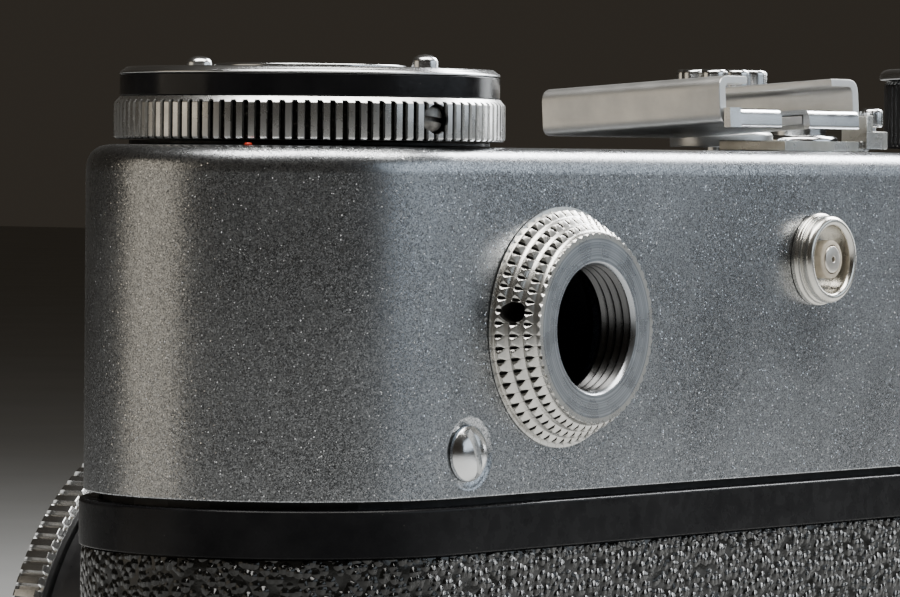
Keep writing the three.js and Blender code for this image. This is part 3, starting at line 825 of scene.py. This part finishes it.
def eyepiece_ring():
    knurled = revolve(eyepiece_outline(), EYE_NOTCHES * 14, closed=True, wave=eyepiece_wave)
    side_hole = upward(0, -EYE_HOLE_RISE, EYE_HOLE_DEPTH) @ Matrix.Rotation(math.pi / 2, 4, "Y")
    low_hole = upward(0.2, 0, 1.5) @ Matrix.Rotation(-math.pi / 2, 4, "X")
    holes = [moved(pin(0.8, 5.8, 12, 28), side_hole), moved(pin(0.5, 4, 6.6, 20), low_hole)]
    piece("eyepiece_knurled_ring", "eyepiece_ring", "eyepiece_metal", knurled,
          rearward(EYEPIECE.x, EYEPIECE.z), holes, sharp=24)


def sync_socket():
    shell = turned([
        (0, -3), (2.8, -3), (2.8, 0.06), (3.85, 0.06), (3.85, 0.42, 0.1), (3.66, 0.55, 0.1),
        (3.66, 0.8, 0.05), (3.5, 0.86, 0.05), (3.5, 1.0, 0.05), (3.62, 1.08, 0.05),
        (3.62, 1.5, 0.2), (3.3, 1.8, 0.28), (2.95, 1.76, 0.2), (2.75, 1.45, 0.2),
        (2.7, 0.32), (0, 0.32),
    ], 128, steps=5)
    place = rearward(SYNC.x, SYNC.z)
    piece("sync_shell", "sync_socket_shell", "sync_metal", shell, place)
    core = ring([(1.2, 0.4), (1.6, 0.4), (1.6, 1.5, 0.14), (1.2, 1.6, 0.1)], 64)
    piece("sync_core", "sync_insulator", "tan_insulator", core, place)
    contact = turned([
        (0, 0.4), (1.14, 0.4), (1.14, 1.66, 0.16), (0.24, 1.7, 0.06), (0.2, 1.1), (0, 1.0),
    ], 48)
    piece("sync_pin", "sync_contact", "sync_contact", contact, place)


# ---- Accessory shoe ----

SHOE_TILT = math.radians(3.6)
SHOE_PLACE = on_cover(SHOE) @ Matrix.Rotation(SHOE_TILT, 4, "X")
SHOE_HALF_LENGTH = 9.3
SHOE_HALF_WIDTH = 10.5
SHOE_HALF_GAP = 6.4
SHOE_WALL = 0.92
SHOE_LIP = 0.68
SHOE_LOW, SHOE_TOP = 1.73, 5.75
TAB_LEFT, TAB_GAP_LEFT, TAB_GAP_RIGHT, TAB_RIGHT = 10.2, 2.6, -1.6, -9.2
TAB_THICK = 0.65


def folded_section():
    """Section of a sheet folded up at both sides and in again at the top."""
    wide, low, high, gap = SHOE_HALF_WIDTH, SHOE_LOW, SHOE_TOP, SHOE_HALF_GAP
    wall, lip = SHOE_WALL, SHOE_LIP
    right = [(gap, high, 0.2), (wide, high, 1.3), (wide, low, 0.9)]
    inner = [
        (wide - wall, low + 0.8, 0.4),
        (wide - wall, high - lip, 0.6),
        (gap, high - lip, 0.2),
    ]
    left = [(-x, z, round_by) for x, z, round_by in reversed(right)]
    inner_left = [(-x, z, round_by) for x, z, round_by in reversed(inner)]
    return filleted(inner_left + inner + right + left, closed=True, steps=7)


def accessory_shoe():
    channel = extruded(folded_section(), -SHOE_HALF_LENGTH, SHOE_HALF_LENGTH)
    notch = block(TAB_GAP_RIGHT, TAB_GAP_LEFT, 4.5, 12, 1, SHOE_LOW + 1)
    piece("shoe_channel", "accessory_shoe", "shoe_metal", channel, SHOE_PLACE, [notch],
          bevel=0.14, sharp=40)


def shoe_spring():
    """A leaf in the shoe whose rear end is folded down over the edge in two tabs."""
    leaf = SHOE_LOW + 0.88
    rear = SHOE_HALF_LENGTH + 0.12
    bottom = SHOE_LOW - 0.38
    section = filleted([
        (-7.5, leaf), (rear, leaf, 0.1), (rear, bottom, 0.28), (rear + TAB_THICK, bottom, 0.3),
        (rear + TAB_THICK, leaf + 0.42, 0.8), (4.0, leaf + 0.36, 1.0), (0, leaf + 0.85, 3.0),
        (-4.5, leaf + 0.36, 1.0), (-7.5, leaf + 0.36),
    ], closed=True, steps=6)
    points, faces = extruded(section, TAB_RIGHT, 9.2)
    shape = [(y, x, z) for x, y, z in points], faces
    gap = block(TAB_GAP_RIGHT, TAB_GAP_LEFT, 4.5, 12, bottom - 1, leaf + 2)
    wider = block(8.6, TAB_LEFT, rear, rear + TAB_THICK, bottom + 0.02, leaf + 0.4)
    piece("shoe_leaf", "shoe_spring", "bright_chrome", shape, SHOE_PLACE, [gap], [wider],
          bevel=0.14, sharp=40)


def shoe_foot():
    plate = block(-14.5, -1.5, 1, 7.9, 0.06, 0.95)
    lug = block(-16.7, -13.4, 5.7, 8.4, 0.3, 1.85)
    web = block(-14.4, -13.4, 5.7, 8.4, 0.5, 3.25)
    hole = moved(pin(0.6, 0.8, 4, 32), FROM_MIDDLE @ upward(CLAMP.x, CLAMP.y, 0))
    piece("shoe_bracket", "shoe_foot", "nickel", plate, upward(0, MID_Y, COVER_TOP), [hole],
          [lug, web], bevel=0.22)


GROOVE_FLANK = 0.05
CLAMP_GROOVES = 21


def knurl(count, depth, start=0.58, low=0.0):
    """Straight grooves of a depth round a rim, where its radius is at least low."""
    def wave(turn, r, _):
        if r < low:
            return r
        share = (turn * count) % 1
        if share < start:
            return r
        flank = min(share - start, 1 - share) / GROOVE_FLANK
        return r - depth * min(1.0, flank)
    return wave


def clamp_screw():
    screw = turned([
        (0, 0.85), (0.44, 0.85), (0.44, 2.22), (0.95, 2.22, 0.1), (1.04, 2.45, 0.1),
        (1.04, 3.5, 0.2), (0.85, 3.85, 0.25), (0, 3.9),
    ], CLAMP_GROOVES * 8, knurl(CLAMP_GROOVES, 0.1, low=1.0))
    piece("clamp_screw", "shoe_clamp_screw", "bright_chrome", screw, on_cover(CLAMP))


# ---- Rewind dial ----

DIAL_GROOVES = 100
DIAL_RADIUS = 15.28
SET_SCREW_TURN = math.radians(78.6)
SET_SCREW_HEIGHT = 2.1


def set_screw_place():
    """Local Z points out of the dial along its set screw."""
    place = Matrix.Rotation(SET_SCREW_TURN, 4, "Z") @ upward(0, 0, SET_SCREW_HEIGHT)
    return place @ Matrix.Rotation(math.pi / 2, 4, "Y")


def dial_ring():
    place = on_cover(DIAL)
    dial = ring([
        (2.7, 0.42), (15.05, 0.42, 0.1), (DIAL_RADIUS, 0.6, 0.06), (DIAL_RADIUS, 3.25, 0.06),
        (15.02, 3.52, 0.1), (14.86, 3.74, 0.06), (2.7, 3.74),
    ], DIAL_GROOVES * 8, knurl(DIAL_GROOVES, 0.46, 0.53, 15.1), steps=3)
    hole = moved(pin(1.16, 12.0, 17, 48), set_screw_place())
    piece("dial_knurled_ring", "rewind_dial_ring", "dial_metal", dial, place, [hole], sharp=25)
    screw = turned([(0, 12.2), (1.08, 12.2), (1.08, 14.72, 0.2), (0, 14.95)], 40)
    slot = moved(block(-0.19, 0.19, -3, 3, 14.3, 16), Matrix.Rotation(math.radians(-6), 4, "Z"))
    piece("dial_grub_screw", "dial_set_screw", "steel", screw, place @ set_screw_place(), [slot])


def dial_top():
    place = on_cover(DIAL)
    band = ring([(8.9, 3.8), (14.84, 3.8, 0.05), (14.84, 5.44, 0.08), (8.9, 5.44)], 256)
    piece("dial_band", "dial_black_ring", "dial_black", band, place)
    rim = ring([
        (2.9, 3.85), (8.7, 3.85), (8.7, 5.5), (14.86, 5.5, 0.05), (14.86, 5.62, 0.06),
        (14.3, 6.04, 0.08), (13.2, 6.05), (7.85, 6.05, 0.05), (7.8, 5.2), (2.9, 5.2),
    ], 256, steps=3)
    piece("dial_rim_plate", "dial_rim", "dial_plate", rim, place)
    cap = turned([
        (0, 5.28), (7.5, 5.28), (7.5, 6.35, 0.15), (7.0, 6.38, 0.1), (6.8, 6.3, 0.1), (0, 6.3),
    ], 160)
    piece("dial_cap", "dial_centre_cap", "dial_plate", cap, place)
    post = turned([
        (0, 6.08), (1.0, 6.08), (1.0, 6.6, 0.1), (0.86, 6.84, 0.15), (0.5, 7.04, 0.2), (0, 7.11),
    ], 56)
    for name in ("dial_post_near", "dial_post_far"):
        piece(name + "_pin", name, "bright_chrome", post, on_cover(centre(name)))


def dial_washer():
    washer = ring([(3.4, 0.06), (14.1, 0.06, 0.05), (14.1, 0.34, 0.05), (3.4, 0.34)], 160)
    piece("dial_washer", "dial_collar", "dial_washer", washer, on_cover(DIAL))
    dot = turned([(0, 0.03), (0.3, 0.03), (0.26, 0.16, 0.1), (0, 0.2)], 32)
    piece("index_mark", "index_dot", "red_paint", dot, on_cover(DOT))


# ---- Wind knob, speed knob and release ----

WIND_GROOVES = 80
COUNTER_TICKS = 36
SPEED_FLUTES = 9
SPEED_LOW, SPEED_TOP = 2.2, 7.3


def wind_knob():
    place = on_cover(WIND)
    side = ring([
        (2.7, 0.5), (12.6, 0.5, 0.2), (12.9, 0.9, 0.1), (12.9, 6.4, 0.1), (12.6, 6.8, 0.1),
        (2.7, 6.8),
    ], WIND_GROOVES * 10, knurl(WIND_GROOVES, 0.35, 0.58, 12.8))
    piece("wind_knob_side", "wind_knob", "black_alloy", side, place, sharp=25)
    cap = turned([
        (0, 6.9), (13.3, 6.9, 0.1), (13.3, 7.5, 0.2), (12.8, 7.9, 0.3), (9.2, 7.9, 0.1),
        (9.0, 7.45), (0, 7.45),
    ], 200)
    piece("wind_knob_top", "wind_knob_cap", "wind_plate", cap, place)
    tick = block(-0.09, 0.09, 7.3, 8.2, 7.78, 8.4)
    turns = [Matrix.Rotation(TAU * i / COUNTER_TICKS, 4, "Z") for i in range(COUNTER_TICKS)]
    disc = turned([(0, 7.55), (8.7, 7.55, 0.05), (8.7, 7.83, 0.05), (0, 7.85)], 144)
    piece("counter_disc", "frame_counter_disc", "wind_plate", disc, place,
          [moved(tick, turn) for turn in turns])


def speed_flutes(turn, r, z):
    """Scallops round the speed knob, above its skirt."""
    if r < 3 or z < SPEED_LOW:
        return r
    return r - 0.85 * (1 - abs(math.sin(math.pi * turn * SPEED_FLUTES)) ** 0.7)


def speed_knob():
    place = on_cover(SPEED)
    knob = turned([
        (0, -20), (1.6, -20), (1.6, SPEED_LOW), (4.15, SPEED_LOW, 0.2), (4.15, SPEED_TOP, 0.5),
        (3.2, SPEED_TOP), (2.6, SPEED_TOP - 0.3, 0.2), (0, SPEED_TOP - 0.3),
    ], SPEED_FLUTES * 24, speed_flutes)
    piece("speed_knob_body", "speed_knob", "bright_chrome", knob, place)
    skirt = ring([(2.0, 0.4), (4.6, 0.4, 0.1), (4.6, 1.6, 0.3), (4.1, 1.9, 0.2), (2.0, 1.9)], 120)
    piece("speed_skirt", "speed_dial", "light_alloy", skirt, place)


def release():
    place = on_cover(RELEASE)
    collar = ring([
        (2.8, 0.06), (3.6, 0.06, 0.1), (3.6, 1.3, 0.3), (3.1, 1.6, 0.2), (2.8, 1.5, 0.1),
    ], 96)
    piece("release_rim", "release_collar", "bright_chrome", collar, place)
    button = turned([
        (0, -3), (2.5, -3), (2.5, 3.0, 0.5), (1.5, 3.25, 0.4), (0.8, 3.0, 0.1), (0.8, 1.4),
        (0, 1.4),
    ], 80)
    piece("release_plunger", "release_button", "bright_chrome", button, place)


# ---- Body: back, front and base ----

BACK_RADIUS = 16.45
BAND_BOTTOM = 47.0
PLATE_RADIUS = 15.95
PLATE_INNER = 15.0
PLATE_BOTTOM = 3.2
LEATHER_RADIUS = 16.2
LEATHER_INNER = 16.0
LEATHER_SKIN = 0.05
LEATHER_ARC = math.pi * LEATHER_RADIUS
LEATHER_LENGTH = 2 * END_X + LEATHER_ARC * 2
PEBBLE_CELL = 1.3
PEBBLE_HEIGHT = 0.08
LENS_HOLE = 23.9
LENS_THROAT = 19.5


def back_shell():
    outline = filleted([
        (PLATE_INNER, PLATE_BOTTOM), (PLATE_RADIUS, PLATE_BOTTOM), (PLATE_RADIUS, BAND_BOTTOM),
        (BACK_RADIUS, BAND_BOTTOM, 0.1), (BACK_RADIUS, BACK_TOP, 0.28),
        (PLATE_INNER, BACK_TOP, 0.1),
    ], closed=True)
    shell = around(outline, end_path(open_front=True), closed_outline=True, closed_path=False)
    piece("back_casing", "back_shell", "black_enamel", shell, BODY_MIDDLE, sharp=30)


def pebbled(point):
    """Height in millimetres of the covering's pebbles above its lowest creases."""
    place = Vector(point) / PEBBLE_CELL
    cell = noise.voronoi(place, distance_metric="DISTANCE", exponent=2.5)[0]
    dome = max(0.0, 1 - (cell[0] / 0.72) ** 2)
    swell = 0.5 + 0.5 * noise.noise(Vector(point) / 3.1)
    return PEBBLE_HEIGHT * dome * (0.55 + 0.45 * swell)


def leather_height(row, rows):
    return LEATHER_LOW + (LEATHER_TOP - LEATHER_LOW) * row / rows


def leather_path(distance):
    """Point and outward direction at a distance along one end, the rear and the other end."""
    if distance < LEATHER_ARC:
        angle = -math.pi / 2 + distance / LEATHER_RADIUS
        return END_X, math.cos(angle), math.sin(angle)
    if distance < LEATHER_ARC + 2 * END_X:
        return END_X - (distance - LEATHER_ARC), 0.0, 1.0
    angle = math.pi / 2 + (distance - LEATHER_ARC - 2 * END_X) / LEATHER_RADIUS
    return -END_X, math.cos(angle), math.sin(angle)


def wrap_points(rows, count):
    """Pebbled rows of the covering of the back, then its inner edge at the bottom and top."""
    points = []
    path = [leather_path(LEATHER_LENGTH * i / count) for i in range(count + 1)]
    for row in range(rows + 1):
        z = leather_height(row, rows)
        for i, (x, nx, ny) in enumerate(path):
            rim = row in (0, rows) or i in (0, count)
            spot = (x + LEATHER_RADIUS * nx, LEATHER_RADIUS * ny, z)
            radius = LEATHER_RADIUS + (0.0 if rim else LEATHER_SKIN + pebbled(spot))
            points.append((x + radius * nx, radius * ny, z))
    for row in (0, rows):
        z = leather_height(row, rows)
        points += [(x + LEATHER_INNER * nx, LEATHER_INNER * ny, z) for x, nx, ny in path]
    return points


def leather_wrap():
    """The covering of the back: a thin sheet round the ends and the rear, with real pebbles."""
    step = 0.36
    count = int(LEATHER_LENGTH / step)
    rows = int((LEATHER_TOP - LEATHER_LOW) / step)
    points = wrap_points(rows, count)
    wide = count + 1
    inner = (rows + 1) * wide
    faces = []
    for row in range(rows):
        for i in range(count):
            a = row * wide + i
            faces.append([a, a + 1, a + 1 + wide, a + wide])
    for i in range(count):
        low, high, top = inner + i, inner + wide + i, rows * wide + i
        faces.append([low, low + 1, i + 1, i])
        faces.append([top, top + 1, high + 1, high])
        faces.append([high, high + 1, low + 1, low])
    for side in (0, count):
        column = [row * wide + side for row in range(rows + 1)]
        faces.append([inner + side] + column + [inner + wide + side])
    piece("back_covering", "back_leatherette", "leatherette", (points, faces), BODY_MIDDLE,
          sharp=60)


def lens_hole(radius, segments):
    """Cutter for the lens's hole in the front, in the frame of the body's pieces."""
    return moved(pin(radius, -5, 5, segments), FROM_MIDDLE @ forward(0, LENS.z))


def front_plate():
    edge = END_X - 0.2
    plate = block(-edge, edge, -PLATE_RADIUS, -PLATE_INNER, PLATE_BOTTOM, BACK_TOP)
    band = block(-edge, edge, -BACK_RADIUS, -15.5, BAND_BOTTOM, BACK_TOP)
    piece("front_casing", "front_plate", "black_enamel", plate, BODY_MIDDLE,
          [lens_hole(LENS_THROAT, 96)], [band], bevel=0.1)


def slab_points(edge, rows, columns):
    """Pebbled front layer of the front covering, then its flat inner layer."""
    points = []
    for layer in (0, 1):
        for row in range(rows + 1):
            z = leather_height(row, rows)
            for i in range(columns + 1):
                x = -edge + 2 * edge * i / columns
                rim = layer or row in (0, rows) or i in (0, columns)
                height = 0.0 if rim else LEATHER_SKIN + pebbled((x, 40.0, z))
                points.append((x, -LEATHER_INNER if layer else -LEATHER_RADIUS - height, z))
    return points


def front_leather():
    """The covering of the front, cut round the lens mount."""
    step = 0.4
    edge = END_X - 0.25
    columns = int(2 * edge / step)
    rows = int((LEATHER_TOP - LEATHER_LOW) / step)
    wide = columns + 1
    total = wide * (rows + 1)
    faces = []
    for row in range(rows):
        for i in range(columns):
            a = row * wide + i
            faces.append([a, a + 1, a + 1 + wide, a + wide])
            faces.append([a + total, a + wide + total, a + 1 + wide + total, a + 1 + total])
    for i in range(columns):
        top = rows * wide + i
        faces.append([i, i + total, i + 1 + total, i + 1])
        faces.append([top, top + 1, top + 1 + total, top + total])
    for row in range(rows):
        a, b = row * wide, row * wide + columns
        faces.append([a, a + wide, a + wide + total, a + total])
        faces.append([b, b + total, b + wide + total, b + wide])
    piece("front_covering", "front_leatherette", "leatherette",
          (slab_points(edge, rows, columns), faces), BODY_MIDDLE,
          [lens_hole(LENS_HOLE, 128)], sharp=60)


def base_plate():
    outline = filleted([
        (13.0, 0), (BACK_RADIUS, 0, 1.1), (BACK_RADIUS, BASE_TOP, 0.1), (13.0, BASE_TOP),
    ], steps=6)
    cuts = []
    for lock in (LOCK_LEFT, LOCK_RIGHT):
        cuts.append(moved(pin(9.3, -1, 1.9, 96), FROM_MIDDLE @ upward(lock.x, lock.y, 0)))
        cuts.append(moved(pin(2.8, -1, 5, 48), FROM_MIDDLE @ upward(lock.x, lock.y, 0)))
    cuts.append(pin(6.2, -1, 5, 64))
    piece("base_cover", "base_plate", "satin_metal", around(outline, end_path(), caps=True),
          BODY_MIDDLE, cuts, bevel=0.08)


def lock_key(name, place, node):
    disc = turned([
        (0, 0.9), (8.9, 0.9, 0.15), (8.9, 1.6), (2.5, 1.6), (2.5, 3.6, 0.3), (0, 3.6),
    ], 120)
    grip = block(-7.5, 7.5, -1.1, 1.1, 0.25, 1.2)
    piece(name, node, "nickel", disc, upward(place.x, place.y, 0), adds=[grip], bevel=0.12)


def tripod_bush():
    """A quarter inch thread, 20 to the inch, in a stepped bush."""
    pitch, depth, bore = 1.27, 0.5, 3.175
    thread = []
    height = 0.6
    while height < 5.6:
        thread += [
            (bore, height), (bore + depth, height + pitch * 0.45), (bore, height + pitch * 0.9),
        ]
        height += pitch
    outside = [(bore, 6.0), (0, 6.0), (0, 7.4), (5, 7.4), (5, 3.2), (6, 3.2), (6, 0.1)]
    bush = revolve([(bore + 0.4, 0.1)] + thread + outside, 72, closed=True)
    piece("tripod_socket", "tripod_bush", "nickel", bush, BODY_MIDDLE)


# ---- Lens ----

FOCUS_GROOVES = 80
APERTURE_GROOVES = 80
FRONT_GROOVES = 120
FRONT_GLASS = 16.4
REAR_GLASS = 15.2


def lens_mount():
    place = forward(0, LENS.z)
    flange = ring([
        (19.5, 0.5), (23.5, 0.5, 0.1), (23.5, 2.2, 0.3), (22.9, 2.8, 0.2), (19.5, 2.8, 0.1),
    ], 192)
    piece("lens_flange", "lens_mount_ring", "lens_chrome", flange, place)
    tube = ring([(19.5, 3.0), (21.6, 3.0, 0.1), (21.6, 20, 0.2), (19.5, 20, 0.1)], 160)
    piece("lens_fixed_tube", "mount_barrel", "black_alloy", tube, place)
    focus = ring([
        (21.9, 5.0), (24.6, 5.0, 0.2), (25.2, 5.8, 0.2), (25.2, 12.2, 0.2), (24.4, 13.0, 0.2),
        (23.6, 15.5, 0.2), (21.9, 15.5),
    ], FOCUS_GROOVES * 8, knurl(FOCUS_GROOVES, 0.45, 0.55, 24.9))
    piece("focus_grip", "focus_ring", "lens_chrome", focus, place, sharp=25)


def lens_barrel():
    place = forward(0, LENS.z)
    barrel = ring([
        (15.5, 1), (19.2, 1), (19.2, 23, 0.3), (22, 24.5, 0.3), (22, 26, 0.2), (20.8, 26, 0.1),
        (20.8, 33, 0.1), (22.6, 34.5, 0.4), (22.6, 39.6, 0.1), (20.2, 39.6), (19.2, 38.4),
        (16.7, 33.4, 0.2), (16.7, 30), (15.5, 29),
    ], 192)
    piece("lens_tube", "lens_barrel", "black_alloy", barrel, place)
    iris = ring([
        (21.1, 26.3), (22.8, 26.3, 0.2), (23.2, 27, 0.2), (23.2, 31.4, 0.2), (22.6, 32.6, 0.2),
        (21.1, 32.6),
    ], APERTURE_GROOVES * 8, knurl(APERTURE_GROOVES, 0.35, 0.5, 23.0))
    piece("aperture_grip", "aperture_ring", "lens_chrome", iris, place, sharp=25)
    front = ring([
        (20.4, 39.9), (23.4, 39.9, 0.1), (24, 40.3, 0.1), (24, 42.9, 0.2), (23.4, 43.4, 0.2),
        (21.0, 43.4, 0.3), (20.4, 42.6, 0.2),
    ], FRONT_GROOVES * 8, knurl(FRONT_GROOVES, 0.45, 0.5, 23.8))
    piece("front_grip", "serrated_front_ring", "lens_chrome", front, place, sharp=25)


def lens_glass():
    """The front and rear elements, each with one domed face."""
    place = forward(0, LENS.z)
    front = [(0, 30.3), (FRONT_GLASS, 30.3), (FRONT_GLASS, 32.0)]
    for i in range(1, 16):
        angle = i * math.pi / 32
        front.append((FRONT_GLASS * math.cos(angle), 32.0 + 3.4 * math.sin(angle)))
    front.append((0, 35.4))
    piece("front_glass", "front_element", "optical_glass", revolve(front, 128), place)
    rear = [(0, 2.5)]
    for i in range(1, 13):
        angle = i * math.pi / 24
        rear.append((REAR_GLASS * math.sin(angle), 4.2 - 1.7 * math.cos(angle)))
    rear += [(REAR_GLASS, 6.5), (0, 6.5)]
    piece("rear_glass", "rear_element", "optical_glass", revolve(rear, 128), place)


def finder_glass():
    x, z = FINDER.x, FINDER.z
    pane = block(x - 7.2, x + 7.2, FRONT_Y + 0.2, FRONT_Y + 0.9, z - 4.7, z + 4.7)
    piece("finder_pane", "finder_window", "optical_glass", pane, upward(0, 0, 0), bevel=0.12)
    small = turned([(0, -0.9), (3.7, -0.9, 0.1), (3.7, -0.25, 0.15), (0, -0.2)], 72)
    piece("rangefinder_pane", "rangefinder_window", "optical_glass", small,
          forward(RANGEFINDER.x, RANGEFINDER.z))


# ---- CAD nodes that stay ----

def dress_frame_nodes():
    """Gives every CAD node that still shows its procedural material and soft shading."""
    for name, node in frame["nodes"].items():
        if node.hide_render:
            continue
        node.data.materials.clear()
        node.data.materials.append(LOOKS[SLOT_OF[name]])
        smoothed(node.data, 25)


# ---- Floor and light ----

FLOOR_REACH = 4.0
WORLD_COLOR = (1.0, 0.86, 0.68, 1)
WORLD_STRENGTH = 0.03
MIDDLE = (0.03, 0.02, 0.07)
# Name, place, target, width, height, power in watts and colour of each soft light, in metres.
LIGHTS = (
    ("key_softbox", (0.05, 0.08, 0.44), (0.0, 0.02, 0.08), 0.46, 0.22, 3.4, (1.0, 0.98, 0.94)),
    ("right_high", (-0.40, 0.05, 0.36), (0.0, 0.03, 0.08), 0.22, 0.24, 3.6, (0.98, 0.99, 1.0)),
    ("right_low", (-0.55, 0.04, 0.15), MIDDLE, 0.30, 0.18, 0.7, (0.95, 0.98, 1.0)),
    ("rear_cool", (-0.26, 0.54, 0.24), MIDDLE, 0.66, 0.28, 0.85, (0.78, 0.89, 1.0)),
    ("front_left_warm", (0.50, -0.42, 0.14), MIDDLE, 0.44, 0.40, 0.40, (1.0, 0.88, 0.70)),
)


def area_light(name, place, target, width, height, power, color):
    data = bpy.data.lights.new(name, "AREA")
    data.shape = "RECTANGLE"
    data.size = width
    data.size_y = height
    data.energy = power
    data.color = color
    lamp = bpy.data.objects.new(name, data)
    bpy.context.scene.collection.objects.link(lamp)
    lamp.location = place
    lamp.rotation_euler = (Vector(target) - Vector(place)).to_track_quat("-Z", "Y").to_euler()
    lamp.visible_camera = False


def studio():
    far = FLOOR_REACH
    corners = [(-far, -far, 0), (far, -far, 0), (far, far, 0), (-far, far, 0)]
    floor = raw_object("floor", (corners, [[0, 1, 2, 3]]))
    floor.data.materials.append(mottled(
        "floor_paper", 0.0, (0.48, 0.48, 0.47), (0.53, 0.53, 0.52), (60, 3), 0.8, 1.5, 0.02))
    world = bpy.data.worlds.new("studio")
    world.use_nodes = True
    background = world.node_tree.nodes["Background"]
    background.inputs["Color"].default_value = WORLD_COLOR
    background.inputs["Strength"].default_value = WORLD_STRENGTH
    bpy.context.scene.world = world
    for light in LIGHTS:
        area_light(*light)


# ---- Build ----

LOOKS = {
    "satin_metal": satin_metal(),
    "bright_chrome": bright_chrome(),
    "nickel": mottled("nickel", 1.0, (0.46, 0.44, 0.38), (0.70, 0.69, 0.66), (3.0, 5),
                      (0.36, 0.22), 0.14, 0.010, top=0.65),
    "steel": steel(),
    "brass": mottled("brass", 1.0, (0.42, 0.28, 0.12), (0.72, 0.54, 0.26), (1.6, 4),
                     0.3, 0.2, 0.006),
    "cast_alloy": cast_alloy(),
    "light_alloy": mottled("light_alloy", 1.0, (0.50, 0.50, 0.49), (0.70, 0.71, 0.72), (2.5, 4),
                           (0.36, 0.26), 0.35, 0.008, stretch=(1, 1, 0.08)),
    "shoe_metal": mottled("shoe_metal", 1.0, (0.66, 0.66, 0.65), (0.80, 0.80, 0.79), (3.0, 5),
                          (0.44, 0.34), 0.2, 0.008, stretch=(1, 0.12, 1)),
    "tan_insulator": mottled("tan_insulator", 0.0, (0.52, 0.45, 0.35), (0.70, 0.62, 0.50), (0.8, 4),
                             0.45, 0.15, 0.01),
    "red_paint": mottled("red_paint", 0.0, (0.45, 0.02, 0.01), (0.65, 0.05, 0.02), (0.3, 3),
                         0.35, 0.2, 0.01),
    "black_alloy": dusty_black("black_alloy", 0.32),
    "black_enamel": dusty_black("black_enamel", 0.24, 0.7, 0.12),
    "dial_black": dusty_black("dial_black", 0.16, 0.9, 0.25),
    "dial_washer": dusty_black("dial_washer", 0.5),
    "black_plastic": black_plastic(),
    "leatherette": leatherette(),
    "shutter_cloth": shutter_cloth(),
    "optical_glass": optical_glass(),
    "eyepiece_metal": eyepiece_metal(),
    "sync_metal": turned_alloy("sync_metal", SYNC, "y", (0.74, 0.72, 0.67), 0.24, marks=0.002),
    "sync_contact": turned_alloy("sync_contact", SYNC, "y", (0.78, 0.74, 0.68), 0.3),
    "dial_metal": turned_alloy("dial_metal", DIAL_FOOT, "z", (0.80, 0.80, 0.79), 0.27,
                               (14.98, 15.16, 0.3, 3.4)),
    "dial_plate": turned_alloy("dial_plate", DIAL, "z", (0.74, 0.75, 0.76), 0.2, wear=0.06),
    "wind_plate": turned_alloy("wind_plate", WIND, "z", (0.70, 0.71, 0.72), 0.24, wear=0.06),
    "lens_chrome": turned_alloy("lens_chrome", LENS, "y", (0.74, 0.75, 0.76), 0.22),
}

top_cover()
cover_screw("cover_screw_near", SCREW_LEFT, "cover_screw_left", 20)
cover_screw("cover_screw_far", SCREW_RIGHT, "cover_screw_right", -35)
eyepiece_ring()
sync_socket()
accessory_shoe()
shoe_spring()
shoe_foot()
clamp_screw()
dial_washer()
dial_ring()
dial_top()
wind_knob()
speed_knob()
release()
back_shell()
leather_wrap()
front_plate()
front_leather()
base_plate()
lock_key("lock_key_near", LOCK_LEFT, "lock_key_left")
lock_key("lock_key_far", LOCK_RIGHT, "lock_key_right")
tripod_bush()
lens_mount()
lens_barrel()
lens_glass()
finder_glass()
dress_frame_nodes()
studio()
